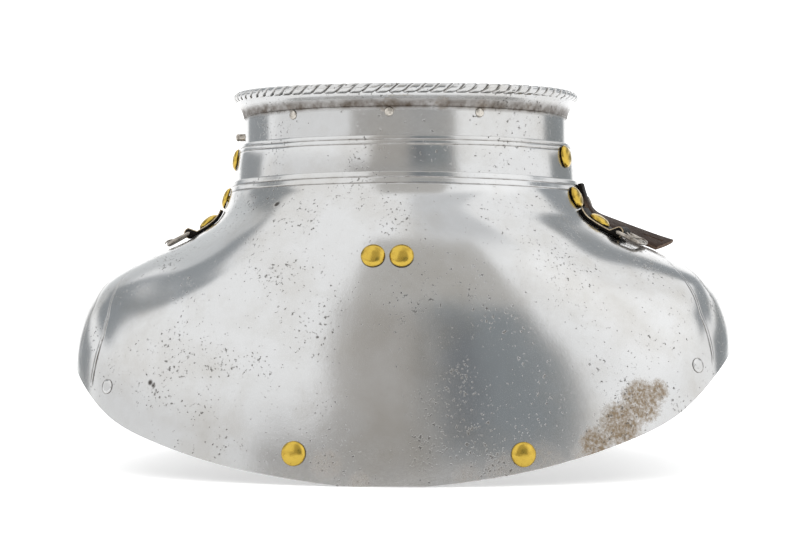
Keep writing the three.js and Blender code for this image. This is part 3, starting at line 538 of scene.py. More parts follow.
def connect(tree, shader, **sockets):
    for name, value in sockets.items():
        tree.links.new(value, shader.inputs[name.replace("_", " ")])


def patch(tree, places, centre, radius, soft):
    """1 inside a round patch of the object about a point, fading to 0 over soft."""
    away = add(tree, "VectorMath", {0: places, 1: centre}, "Value", operation="DISTANCE")
    return add(tree, "MapRange", {"Value": away, "From Min": radius, "From Max": radius + soft, "To Min": 1.0,
                                  "To Max": 0.0}, interpolation_type="SMOOTHSTEP")


def pits(tree, places, cell, widest, field):
    """Ragged rust pits, at most one in each cell, where the field lets them. Gives 1 in a pit.
    Few cells get a wide one, because the size goes with the third power of the cell's chance."""
    wave = add(tree, "TexNoise", {"Vector": places, "Scale": 2.2 / cell, "Detail": 3.0}, "Color")
    shifted = add(tree, "VectorMath", {0: wave, 1: (0.5 * cell,) * 3, 2: places}, operation="MULTIPLY_ADD")
    distance = add(tree, "TexVoronoi", {"Vector": shifted, "Scale": 1 / cell}, "Distance")
    chance = add(tree, "SeparateColor", {0: distance.node.outputs["Color"]})
    size = add(tree, "Math", {0: chance, 1: 3.0}, operation="POWER")
    for factor in (widest / cell, field):
        size = add(tree, "Math", {0: size, 1: factor}, operation="MULTIPLY")
    rim = add(tree, "Math", {0: size, 1: 0.3}, operation="MULTIPLY")
    return add(tree, "MapRange", {"Value": distance, "From Min": rim, "From Max": size, "To Min": 1.0,
                                  "To Max": 0.0})


# Places on the front plate, from the neck's axis in millimetres: (x, y, z), radius, softness.
RUST_PATCHES = (
    ((108, -97, 34), 5, 13), ((99, -103, 25), 5, 13), ((115, -92, 38), 2, 9), ((88, -108, 17), 3, 12),
)
TAN_PATCHES = (
    ((66, -115, 8), 6, 12), ((50, -119, 6), 5, 10), ((-24, -122, 9), 4, 8), ((85, -109, 11), 4, 10),
    ((35, -122, 4), 3, 9), ((-10, -124, 2), 2, 7),
)
DIRT_UNDER_RIM = (
    ((-1, -75, 163), 2.5, 4), ((-4, -75, 161), 1, 3), ((39, -66, 162.5), 2, 4), ((-48, -60, 162), 1, 3),
    ((22, -73, 163.5), 2, 5), ((60, -50, 163), 1, 5),
)
SCARS = (
    ((-52, -72, 119), 0.9, 0.9), ((-51, -72, 117.4), 0.4, 0.8), ((-103.5, -96.5, 41), 0.5, 1.2),
    ((-102, -97.5, 39.8), 0.2, 1.2), ((-60, -113, 6), 0.9, 1.4),
)


def spots(tree, places, table):
    """Several round patches as one, the strongest at each point."""
    whole = None
    for (x, y, z), radius, soft in table:
        centre = NECK_AXIS + Vector((x, y, z)) * MM
        one = patch(tree, places, tuple(centre), radius * MM, soft * MM)
        whole = one if whole is None else add(tree, "Math", {0: whole, 1: one}, operation="MAXIMUM")
    return whole


def incised(tree, name):
    """The two strokes of a border line, from the distance to it that the plate carries. Gives 1 in a stroke.
    The real strokes are about 0.3 mm wide, too fine to show, so they are drawn about twice as wide."""
    carried = add(tree, "Attribute", output="Vector", attribute_name=name)
    parts = add(tree, "SeparateXYZ", {0: carried}).node.outputs
    both = 0.0
    for middle, half, strength in ((0.0, 0.7 * MM, 1.3), (1.7 * MM, 0.5 * MM, 0.9)):
        away = add(tree, "Math", {0: parts["X"], 1: middle}, operation="SUBTRACT")
        away = add(tree, "Math", {0: away}, operation="ABSOLUTE")
        stroke = add(tree, "MapRange", {"Value": away, "From Min": 0.0, "From Max": half, "To Min": strength,
                                        "To Max": 0.0})
        both = add(tree, "Math", {0: both, 1: stroke}, operation="MAXIMUM")
    return add(tree, "Math", {0: both, 1: parts["Y"]}, operation="MULTIPLY")


def polished_steel(finish):
    """Plate steel, hammered to form, filed and polished. Gives soft mirror reflections that waver with
    the planishing, a fine cloudy film, dark pits where rust was cleaned off, dirt in every groove, and
    painted shade in the hollow under the collar's rim."""
    material, tree, shader = new_material("planished_polished_steel")
    places = add(tree, "TexCoord", output="Object")
    # Sizes in millimetres, detail and roughness of each pattern. The polish's scratches are under
    # 0.1 mm apart, too fine to show, so the grain stands for them at 1.1 mm.
    cloud, mottle, grain, crowd, prick, speck = (
        add(tree, "TexNoise", {"Vector": places, "Scale": 1 / (size * MM), "Detail": detail,
                               "Roughness": roughness})
        for size, detail, roughness in ((34, 5.0, 0.6), (6, 5.0, 0.65), (1.1, 3.0, 0.6), (21, 3.0, 0.5),
                                        (1.5, 2.0, 0.6), (1.7, 6.0, 0.75)))

    # Pits: pinpricks everywhere, in crowds, a few ragged larger ones, and the scars.
    crowded = add(tree, "Math", {0: crowd, 1: 0.42, 2: prick}, operation="MULTIPLY_ADD")
    pitted = add(tree, "MapRange", {"Value": crowded, "From Min": 0.87, "From Max": 0.95, "To Max": 0.75})
    field = add(tree, "MapRange", {"Value": crowd, "From Min": 0.36, "From Max": 0.66, "To Min": 0.3,
                                   "To Max": 1.1})
    for more in (pits(tree, places, 3.2 * MM, 0.75 * MM, field), pits(tree, places, 12 * MM, 1.4 * MM, field),
                 spots(tree, places, SCARS)):
        pitted = add(tree, "Math", {0: pitted, 1: more}, operation="MAXIMUM")

    # Stains: speckled rust by one corner, a tan tint along the lower edge, dirt round the rim's rivets.
    stained = 0.0
    for table, least, most, depth in ((RUST_PATCHES, 0.3, 0.56, 0.95), (TAN_PATCHES, 0.26, 0.66, 0.4),
                                      (DIRT_UNDER_RIM, 0.36, 0.62, 0.6)):
        speckled = add(tree, "Math", {0: spots(tree, places, table), 1: speck}, operation="MULTIPLY")
        stain = add(tree, "MapRange", {"Value": speckled, "From Min": least, "From Max": most,
                                       "To Max": depth})
        stained = add(tree, "Math", {0: stained, 1: stain}, operation="MAXIMUM")

    # Dirt in the grooves that the plate carries as a value, and the border lines; on the collar the same
    # value carries painted shade in the hollow under the rim.
    hollow = add(tree, "Attribute", output="Fac", attribute_name="hollow")
    lines = add(tree, "Math", {0: incised(tree, "border_inner"), 1: incised(tree, "border_outer")},
                operation="MAXIMUM")
    dirt_and_shade = add(tree, "Math", {0: hollow, 1: lines}, operation="MAXIMUM")
    patchy = add(tree, "MapRange", {"Value": mottle, "From Min": 0.3, "From Max": 0.62, "To Min": 0.45,
                                    "To Max": 1.0})
    dirt_and_shade = add(tree, "Math", {0: dirt_and_shade, 1: patchy}, operation="MULTIPLY")

    film = add(tree, "MapRange", {"Value": cloud, "From Min": 0.44, "From Max": 0.72, "To Max": 0.4})
    film = add(tree, "Math", {0: mottle, 1: 0.22, 2: film}, operation="MULTIPLY_ADD")
    shade = tuple(finish.steel)
    for share, over in ((film, finish.tarnish), (stained, finish.rust), (dirt_and_shade, finish.grime_and_shade),
                        (pitted, finish.pit)):
        shade = add(tree, "Mix", {"Factor": share, "A": shade, "B": tuple(over)}, "Result", data_type="RGBA")

    spoiled = add(tree, "Math", {0: stained, 1: pitted}, operation="MAXIMUM")
    spoiled = add(tree, "Math", {0: spoiled, 1: dirt_and_shade}, operation="MAXIMUM")
    rough = add(tree, "MapRange", {"Value": cloud, "From Min": 0.3, "From Max": 0.7, "To Min": 0.1,
                                   "To Max": 0.17})
    for pattern, amount in ((grain, 0.07), (spoiled, 0.35)):
        rough = add(tree, "Math", {0: pattern, 1: amount, 2: rough}, operation="MULTIPLY_ADD")
    metal = add(tree, "MapRange", {"Value": stained, "To Min": 1.0, "To Max": 0.4})

    relief = 0.0
    for pattern, amount in ((grain, 0.11), (mottle, 0.25), (pitted, -0.8), (lines, -1.4)):
        relief = add(tree, "Math", {0: pattern, 1: amount, 2: relief}, operation="MULTIPLY_ADD")
    normal = add(tree, "Bump", {"Height": relief, "Distance": 0.15 * MM, "Strength": 0.55})
    connect(tree, shader, Base_Color=shade, Roughness=rough, Metallic=metal, Normal=normal)
    return material


def clouded(name, pattern, spread, shades, gloss, hollow=None):
    """A material whose colour and gloss follow one cloudy pattern, given by size, detail and roughness.
    spread: pattern values where the second shade starts and ends, and its most. gloss: least and most
    roughness. hollow: colour of the dirt. Gives material, tree, shader, places and the pattern."""
    material, tree, shader = new_material(name)
    size, detail, roughness = pattern
    places = add(tree, "TexCoord", output="Object")
    cloud = add(tree, "TexNoise", {"Vector": places, "Scale": 1 / (size * MM), "Detail": detail,
                                   "Roughness": roughness})
    share = add(tree, "MapRange", {"Value": cloud, "From Min": spread[0], "From Max": spread[1],
                                   "To Max": spread[2]})
    shade = add(tree, "Mix", {"Factor": share, "A": shades[0], "B": shades[1]}, "Result", data_type="RGBA")
    if hollow:
        depth = add(tree, "Attribute", output="Fac", attribute_name="hollow")
        shade = add(tree, "Mix", {"Factor": depth, "A": shade, "B": linear(hollow)}, "Result",
                    data_type="RGBA")
    rough = add(tree, "MapRange", {"Value": cloud, "From Min": 0.3, "From Max": 0.7, "To Min": gloss[0],
                                   "To Max": gloss[1]})
    connect(tree, shader, Base_Color=shade, Roughness=rough)
    return material, tree, shader, places, cloud


def hammered_inside(finish):
    """The plates' inner faces, left dull from the hammer with a brown-grey skin of scale."""
    material, tree, shader, places, _ = clouded(
        "hammer_dull_steel", (24, 6.0, 0.65), (0.4, 0.7, 0.7), (tuple(finish.inside), linear("#4A443D")),
        (0.4, 0.62))
    dents = add(tree, "TexVoronoi", {"Vector": places, "Scale": 1 / (9 * MM)}, "Distance",
                feature="SMOOTH_F1")
    connect(tree, shader, Normal=add(tree, "Bump", {"Height": dents, "Distance": 0.5 * MM, "Strength": 0.4}))
    shader.inputs["Metallic"].default_value = 0.9
    return material


def worn_steel(name, base):
    """Small forged fittings, filed and handled: duller than the plate, dark in the hollows."""
    material, tree, shader, _, cloud = clouded(
        name, (2.5, 5.0, 0.7), (0.42, 0.68, 0.8), (base, linear("#4B423A")), (0.22, 0.5))
    connect(tree, shader, Normal=add(tree, "Bump", {"Height": cloud, "Distance": 0.12 * MM, "Strength": 0.6}))
    shader.inputs["Metallic"].default_value = 1.0
    return material


def domed_brass(finish):
    """Sheet brass, raised over a die and polished: clear gold reflections, hairline scratches, and
    a little brown in the hollows of the surface. The hairlines are drawn 0.4 mm apart or more, because
    the real ones are too fine to show."""
    material, tree, shader, places, _ = clouded(
        "polished_sheet_brass", (3, 5.0, 0.7), (0.5, 0.75, 0.55), (tuple(finish.brass), linear("#8A6524")),
        (0.16, 0.32), "#3A2C14")
    hair = add(tree, "Mapping", {"Vector": places, "Scale": (300.0, 2600.0, 700.0)})
    hair = add(tree, "TexNoise", {"Vector": hair, "Scale": 1.0, "Detail": 2.0})
    connect(tree, shader, Normal=add(tree, "Bump", {"Height": hair, "Distance": 0.03 * MM, "Strength": 0.35}))
    shader.inputs["Metallic"].default_value = 1.0
    return material


def leather(name, face, dark, pore, shine):
    """Vegetable-tanned cowhide: a pebbled grain of pores and creases, duller where it is rubbed. The
    real pores are about 0.2 mm apart, too fine to show, so they are drawn at 0.6 to 1.1 mm."""
    material, tree, shader, places, cloud = clouded(
        name, (5, 6.0, 0.7), (0.35, 0.7, 1.0), (face, linear(dark)), (shine, shine + 0.2), "#15110F")
    grain = add(tree, "TexVoronoi", {"Vector": places, "Scale": 1 / (pore * MM)}, "Distance",
                feature="DISTANCE_TO_EDGE")
    crease = add(tree, "MapRange", {"Value": grain, "From Max": 0.12})
    relief = add(tree, "Math", {0: cloud, 1: 1.5, 2: crease}, operation="MULTIPLY_ADD")
    normal = add(tree, "Bump", {"Height": relief, "Distance": 0.14 * MM, "Strength": 0.6})
    connect(tree, shader, Normal=normal)
    shader.inputs["Specular IOR Level"].default_value = 0.1
    return material


def material(name):
    """One of the gorget's materials. All are made when the first is asked for."""
    if not MATERIALS:
        finish = bpy.context.scene.gorget_finish
        MATERIALS.update({
            "plate": polished_steel(finish),
            "inside": hammered_inside(finish),
            "fitting": worn_steel("file_finished_steel", tuple(finish.fitting)),
            "rivet": worn_steel("peened_steel", linear("#BDB8B0")),
            "brass": domed_brass(finish),
            "black": leather("waxed_black_leather", tuple(finish.black_leather), "#0E0C0B", 0.9, 0.42),
            "cut": leather("cut_leather_edge", tuple(finish.cut_leather), "#8C7A62", 0.6, 0.7),
            "cut_brown": leather("cut_brown_leather", linear("#7A675A"), "#453830", 0.7, 0.65),
            "brown": leather("rubbed_brown_leather", tuple(finish.brown_leather), "#2C211B", 1.1, 0.5),
        })
    return MATERIALS[name]


MATERIALS = {}


# The plates' outer faces, as the fittings find them

class Face:
    """A plate's outer face, looked up by azimuth and height."""

    def __init__(self, section, azimuths):
        self.azimuths = azimuths
        self.out, self.height = section(azimuths)

    def point(self, azimuth, height):
        i = int(np.clip(np.searchsorted(self.azimuths, azimuth) - 1, 0, len(self.azimuths) - 2))
        share = (azimuth - self.azimuths[i]) / (self.azimuths[i + 1] - self.azimuths[i])
        outs = [np.interp(-height, -self.height[k], self.out[k]) for k in (i, i + 1)]
        out = outs[0] + (outs[1] - outs[0]) * share
        angle = math.radians(azimuth)
        return NECK_AXIS + Vector((out * math.sin(angle), -out * math.cos(angle), height))

    def normal(self, azimuth, height):
        reach = 2 * MM
        turn = math.degrees(reach / USUAL_OUT)
        along = self.point(azimuth + turn, height) - self.point(azimuth - turn, height)
        up = self.point(azimuth, height + reach) - self.point(azimuth, height - reach)
        return along.cross(up).normalized()

    def over(self, azimuth, height, distance):
        return self.point(azimuth, height) + self.normal(azimuth, height) * distance


def face(name):
    """The outer face of a plate, inset by its layer in the stack."""
    if name not in FACES:
        forms = Forms(bpy.context.scene.gorget_plates)
        half, part = name.split("_")
        azimuths = np.arange(-104, 105, 1.0) if half == "front" else np.arange(82, 279, 1.0)
        inset = forms.layer if half == "back" else 0.0
        if part == "collar":
            FACES[name] = Face(lambda a: forms.collar(a, inset), azimuths)
        else:
            section = forms.main if part == "main" else forms.lame
            FACES[name] = Face(lambda a: inset_by(*section(a), inset) if inset else section(a), azimuths)
    return FACES[name]


FACES = {}


def back_stations():
    """Azimuths of the back half: the flap, its clipped corner, the full plate, and the other flap."""
    return np.concatenate([[LAP_START, 92, 94, SEAM], stations(CLIPPED, 360 - CLIPPED),
                           [360 - SEAM, 266, 268, 360 - LAP_START]])


def filled(azimuths, rows, half, upper):
    """Marks the cells of a plate's grid that are steel. The back half's flaps lack the upper rows."""
    keep = np.ones((len(azimuths) - 1, rows - 1), bool)
    if half == "back":
        lapped = (azimuths[:-1] < CLIPPED) | (azimuths[:-1] >= 360 - CLIPPED)
        keep[lapped, :upper] = False
    return keep


def hammered_plate(half, section, azimuths, rows, grooves, wobble, fade, rest):
    """A plate of one half with its incised lines. rows: distances from its top, the number of rows
    between, and distances from its edge. fade: how far from the top and the edge the wobble grows, from
    the share rest of it to the whole. Gives the slab, the depth of the lines at each vertex, and out and
    the distance from the edge on the grid."""
    sizes = bpy.context.scene.gorget_plates
    out, height = section(azimuths)
    if half == "back":
        out, height = inset_by(out, height, Forms(sizes).layer)
    out, height, top, edge = relaid(out, height, *rows)
    cut = groove(top, grooves[0]) + groove(top, grooves[1])
    wobble = hammered(points(azimuths, out, height), wobble)
    wobble *= ease(top / fade[0]) * ease(edge / fade[1]) * (1 - rest) + rest
    outer = points(azimuths, *inset_by(out, height, cut * sizes.groove_depth + wobble))
    inner = points(azimuths, *inset_by(out, height, sizes.thickness + wobble))
    keep = filled(azimuths, out.shape[1], half, len(rows[0]) - 1)
    return slab(outer, inner, keep), outside_only(cut), out, edge


# Operators

class GORGET_OT_main_plates(bpy.types.Operator):
    """Builds the flared front and back plates with their incised lines"""
    bl_idname = "gorget.main_plates"
    bl_label = "Main plates"

    def execute(self, context):
        sizes = context.scene.gorget_plates
        rows = (np.array([0, 0.5, 1.2, 1.9, 2.3, 2.6, 2.9, 3.3, 4.1, 4.7, 5.1, 5.4, 5.7, 6.1, 7.2, 9, 11,
                          13.3, 15.8, 18.4]) * MM, 62,
                np.array([16, 13.5, 11, 9, 7, 5, 3.4, 2, 1, 0.4, 0]) * MM)
        for half, azimuths in (("front", stations(-SEAM, SEAM, 0.8)), ("back", back_stations())):
            shape, cut, out, edge = hammered_plate(
                half, Forms(sizes).main, azimuths, rows, (2.6 * MM, 5.4 * MM), sizes.wobble,
                (9 * MM, 14 * MM), 0.15)
            shades = {"hollow": cut}
            if half == "front":
                for line, sides in BORDER_LINES.items():
                    shades[line] = outside_only(self.border(sides, azimuths, out, edge))
            make_piece(f"{half}_main", shape, ("plate", "inside"), half, f"{half}_main_plate",
                       bevel=0.22 * MM, shades=shades)
        return {"FINISHED"}

    @staticmethod
    def border(lines, azimuths, out, edge):
        """How far each point lies beside the nearer side's incised line, and how strong the line is there."""
        found = np.zeros((*edge.shape, 3))
        for side, line in lines.items():
            distances, turns, strengths = (np.array(column, float) for column in zip(*line))
            near = azimuths * side > 0
            centre = np.interp(edge[near], distances * MM, turns)
            found[near, :, 0] = (azimuths[near, None] * side - centre) * math.radians(1) * out[near]
            found[near, :, 1] = np.interp(edge[near], distances * MM, strengths, left=0, right=0)
        return found


# Incised lines inside the side edges, the inner and the outer one. On each side (-1 is -X, 1 is +X):
# distance from the plate's edge in millimetres, azimuth, strength of the line.
BORDER_LINES = {
    "border_inner": {
        -1: ((5, 60, 0), (7, 60, 1), (20, 60, 1), (27.8, 60, 0.6), (35.6, 61, 0.6), (44.3, 64, 0.5),
             (52.3, 68, 0.4), (60, 74, 0.3), (66, 80, 0)),
        1: ((6, 63.6, 0), (9, 64, 0.7), (19.8, 64, 0.8), (28, 64, 0.6), (41.4, 66, 0.6), (50.5, 69, 0.5),
            (58, 74, 0.3), (64, 80, 0)),
    },
    "border_outer": {
        -1: ((6, 65.6, 0), (8, 66, 0.3), (18.8, 67, 0.7), (30.9, 68, 0.8), (40, 72, 0.6), (48, 78, 0)),
        1: ((10, 72, 0), (15.6, 72, 0.5), (22.6, 72, 0.9), (34.6, 72, 0.7), (43, 75, 0.5), (50, 80, 0)),
    },
}


class GORGET_OT_neck_lames(bpy.types.Operator):
    """Builds the middle bands of the neck, front and back"""
    bl_idname = "gorget.neck_lames"
    bl_label = "Neck lames"

    def execute(self, context):
        sizes = context.scene.gorget_plates
        rows = (np.array([0, 0.4, 1.1, 1.6, 1.9, 2.2, 2.6, 3.3, 3.7, 4.0, 4.3, 4.7, 6, 8, 11, 14]) * MM, 6,
                np.array([6, 3, 1, 0]) * MM)
        for half, azimuths in (("front", stations(-SEAM, SEAM)), ("back", back_stations())):
            shape, cut, _, _ = hammered_plate(
                half, Forms(sizes).lame, azimuths, rows, (1.9 * MM, 4.0 * MM), 0.5 * sizes.wobble,
                (8 * MM, 8 * MM), 0)
            make_piece(f"{half}_lame_plate", shape, ("plate", "inside"), f"{half}_lame", f"{half}_neck_lame",
                       bevel=0.2 * MM, shades={"hollow": cut})
        return {"FINISHED"}


class GORGET_OT_collars(bpy.types.Operator):
    """Builds the top bands with their flare and roped rim"""
    bl_idname = "gorget.collars"
    bl_label = "Collars"

    def execute(self, context):
        sizes = context.scene.gorget_plates
        fittings = context.scene.gorget_fittings
        forms = Forms(sizes)
        half_slot = (fittings.peg_radius + fittings.slot_clearance) / sizes.neck_half_width
        slot_end = PEG_AZIMUTH + math.degrees(half_slot)
        front = np.concatenate([[-SEAM, PEG_AZIMUTH], stations(slot_end, SEAM)])
        rim_gap = math.degrees(0.5 * MM / sizes.neck_half_width)
        flare_rows = len(COLLAR_FLARE)
        for half, azimuths in (("front", front), ("back", back_stations())):
            out, height = forms.collar(azimuths, forms.layer if half == "back" else 0.0)
            inner_out, inner_height = inset_by(out, height, sizes.thickness)
            inner_out[:, flare_rows:] = out[:, flare_rows:] - sizes.thickness
            inner_height[:, flare_rows:] = height[:, flare_rows:]
            keep = filled(azimuths, out.shape[1], half, flare_rows)
            start, end = SEAM + rim_gap, 360 - SEAM - rim_gap
            if half == "front":
                high, low = forms.slot_levels()
                middle = (height[0, :-1] + height[0, 1:]) / 2
                keep[np.ix_(azimuths[:-1] < slot_end - 0.01, (middle < high) & (middle > low))] = False
                start, end = -SEAM, SEAM
            wobble = hammered(points(azimuths, out, height), 0.4 * sizes.wobble)[..., None]
            shift = wobble * (points(azimuths, np.ones_like(out), height) - points(azimuths, 0 * out, height))
            outer = points(azimuths, out, height) - shift
            inner = points(azimuths, inner_out, inner_height) - shift
            *rope, rope_cut = self.rope(forms, sizes, start, end)
            # Painted shade in the hollow under the rim, growing darker down to its foot, with real dirt along
            # the foot and the wall's first row.
            cove_shade_and_dirt = np.zeros_like(out)
            cove_shade_and_dirt[:, flare_rows - 6:flare_rows + 1] = 0.3, 0.7, 0.9, 0.95, 1.0, 1.0, 0.6
            shades = {"hollow": np.concatenate([outside_only(cove_shade_and_dirt), rope_cut])}
            make_piece(f"{half}_collar_plate", merged(slab(outer, inner, keep), rope), ("plate", "inside"),
                       f"{half}_top", f"{half}_collar", sharp=48, shades=shades)
        return {"FINISHED"}

    @staticmethod
    def rope(forms, sizes, start, end):
        """The rim: a rolled bead filed with slanting grooves, two of which wind round it side by side."""
        around_neck = math.radians(end - start) * (sizes.neck_half_width + sizes.rim_flare)
        steps = int(around_neck / (0.5 * MM))
        azimuths = np.linspace(start, end, steps + 1)
        along = np.linspace(0, around_neck, steps + 1)
        centre_out, centre_up = forms.rim(azimuths)
        sides = 26
        turn = np.linspace(0, 2 * np.pi, sides, endpoint=False)
        place = along[:, None] / sizes.rope_pitch - 2 * turn[None, :] / (2 * np.pi)
        uneven = 0.05 * np.sin(along[:, None] / (31 * MM)) + 0.04 * np.sin(along[:, None] / (13.7 * MM))
        offset = np.abs((place + uneven) % 1 - 0.5) * sizes.rope_pitch
        cut = np.exp(-(offset / (0.45 * MM)) ** 2)
        crown = 0.14 * MM * np.clip(1 - offset / (1.6 * MM), 0, 1) ** 2
        radius = sizes.rim_radius - sizes.rope_depth * cut - crown
        out = centre_out[:, None] + radius * np.cos(turn)
        height = centre_up[:, None] + radius * np.sin(turn)
        vertices = points(azimuths, out, height).reshape(-1, 3)
        faces = ring_faces(steps + 1, sides)
        return vertices, faces, [0] * len(faces), np.clip(1.2 * cut, 0, 1).ravel()


# Rivets: node, plate face, azimuth, height in millimetres, kind, body, what the head stands on.
RIVETS = (
    ("front_collar_pivot_left", "front_lame", -83, 142.2, "dome", "front_lame", 0.1),
    ("front_collar_pivot_right", "front_lame", 71.5, 142.2, "dome", "front_lame", 0.1),
    ("front_lame_pivot_left", "front_main", -83, 123.6, "dome", "front", 0.35),
    ("front_lame_pivot_right", "front_main", 71.5, 123, "dome", "front", 0.35),
    ("back_collar_pivot_left", "back_lame", 253, 144, "dome", "back_lame", 0.1),
    ("back_collar_pivot_right", "back_lame", 107, 144, "dome", "back_lame", 0.1),
    ("back_lame_pivot_left", "back_main", 253, 125, "dome", "back", 0.35),
    ("back_lame_pivot_right", "back_main", 107, 125, "dome", "back", 0.35),
    ("centre_rivet_left", "front_main", -3.4, 95.7, "dome", "front", 0.1),
    ("centre_rivet_right", "front_main", 3.4, 95.7, "dome", "front", 0.1),
    ("lower_rivet_left", "front_main", -17.5, 13.2, "dome", "front", 0.1),
    ("lower_rivet_right", "front_main", 26.5, 13.2, "dome", "front", 0.1),
    ("chape_rivet_left", "front_main", -80, 110.3, "dome", "front", 2.1),
    ("chape_rivet_right", "front_main", 73.5, 110.3, "dome", "front", 2.1),
    ("corner_rivet_left", "front_main", -56, 38.4, "flush", "front", 0.0),
    ("corner_rivet_right", "front_main", 60, 48.4, "flush", "front", 0.0),
    ("collar_rivet_1", "front_collar", -37.6, 159.5, "small", "front_top", 0.0),
    ("collar_rivet_2", "front_collar", -1.2, 159.5, "small", "front_top", 0.0),
    ("collar_rivet_3", "front_collar", 30.2, 159.5, "small", "front_top", 0.0),
    ("back_collar_rivet_1", "back_collar", 145, 159.5, "small", "back_top", 0.0),
    ("back_collar_rivet_2", "back_collar", 180, 159.5, "small", "back_top", 0.0),
    ("back_collar_rivet_3", "back_collar", 215, 159.5, "small", "back_top", 0.0),
)


class GORGET_OT_rivets(bpy.types.Operator):
    """Builds the brass domes, the flush corner rivets and the small steel rivets"""
    bl_idname = "gorget.rivets"
    bl_label = "Rivets"

    def execute(self, context):
        fittings = context.scene.gorget_fittings
        thickness = context.scene.gorget_plates.thickness
        for node, plate, azimuth, height, kind, body, stand in RIVETS:
            skin = face(plate)
            normal = skin.normal(azimuth, height * MM)
            layers = 3 if "pivot" in node else 1
            grip = thickness * layers + (1.4 + stand) * MM
            tail = [(0, -grip - 0.9 * MM), (2.2 * MM, -grip - 0.75 * MM), (3.0 * MM, -grip - 0.3 * MM),
                    (3.0 * MM, -grip), (1.6 * MM, -grip), (1.6 * MM, 0)]
            vertices, faces = turned(tail + self.head(kind, fittings), 40)
            finish, slot, rim, blows = self.KINDS[kind]
            if blows:
                seed = azimuth + 11 * (kind == "dome" and azimuth < 0)
                vertices = self.battered(vertices, seed, blows * MM)
            around = np.hypot(vertices[:, 0], vertices[:, 1])
            hollow = np.clip((around / around.max() - rim) / 0.04, 0, 1) * (vertices[:, 2] < 0.35 * MM)
            vertices = placed(vertices, skin.over(azimuth, height * MM, stand * MM), normal)
            make_piece(f"{node}_head", (vertices, faces), (finish,), body, node, sharp=50,
                       shades={"hollow": hollow})
        return {"FINISHED"}

    # Material, slot, share of the radius where dirt starts, and depth of the hammer's blows.
    KINDS = {"dome": ("brass", "brass_rivet", 0.93, 0.06), "flush": ("plate", "steel_fitting", 0.86, 0),
             "small": ("rivet", "steel_fitting", 0.9, 0.12)}

    @staticmethod
    def head(kind, fittings):
        """Profile of a head from its rim up."""
        if kind == "dome":
            radius, rise, rim = fittings.dome_radius, fittings.dome_height, 0.22 * MM
            curve = [(radius * math.cos(t) ** 0.94, rim + (rise - rim) * math.sin(t))
                     for t in np.linspace(0, math.pi / 2, 14)[:-1]]
            return [(radius, 0)] + curve + [(0, rise)]
        if kind == "flush":
            radius = fittings.corner_radius
            return [(radius, 0), (radius, 0.08 * MM), (radius - 0.45 * MM, 0.06 * MM),
                    (radius - 0.6 * MM, 0.22 * MM), (radius - 0.9 * MM, 0.3 * MM), (0.5 * radius, 0.34 * MM),
                    (0, 0.36 * MM)]
        radius = fittings.steel_radius
        return [(radius, 0), (radius, 0.25 * MM), (0.82 * radius, 0.62 * MM), (0.45 * radius, 0.86 * MM),
                (0, 0.92 * MM)]

    @staticmethod
    def battered(vertices, seed, amount):
        """Hand-hammered unevenness of a head. The seed is set, because Blender takes it from the clock."""
        noise.seed_set(7)
        aside = Vector((seed, 0, 0))
        moved = [Vector(v) + noise.noise_vector(Vector(v) * 420 + aside) * amount for v in vertices]
        return np.array([tuple(v) for v in moved])


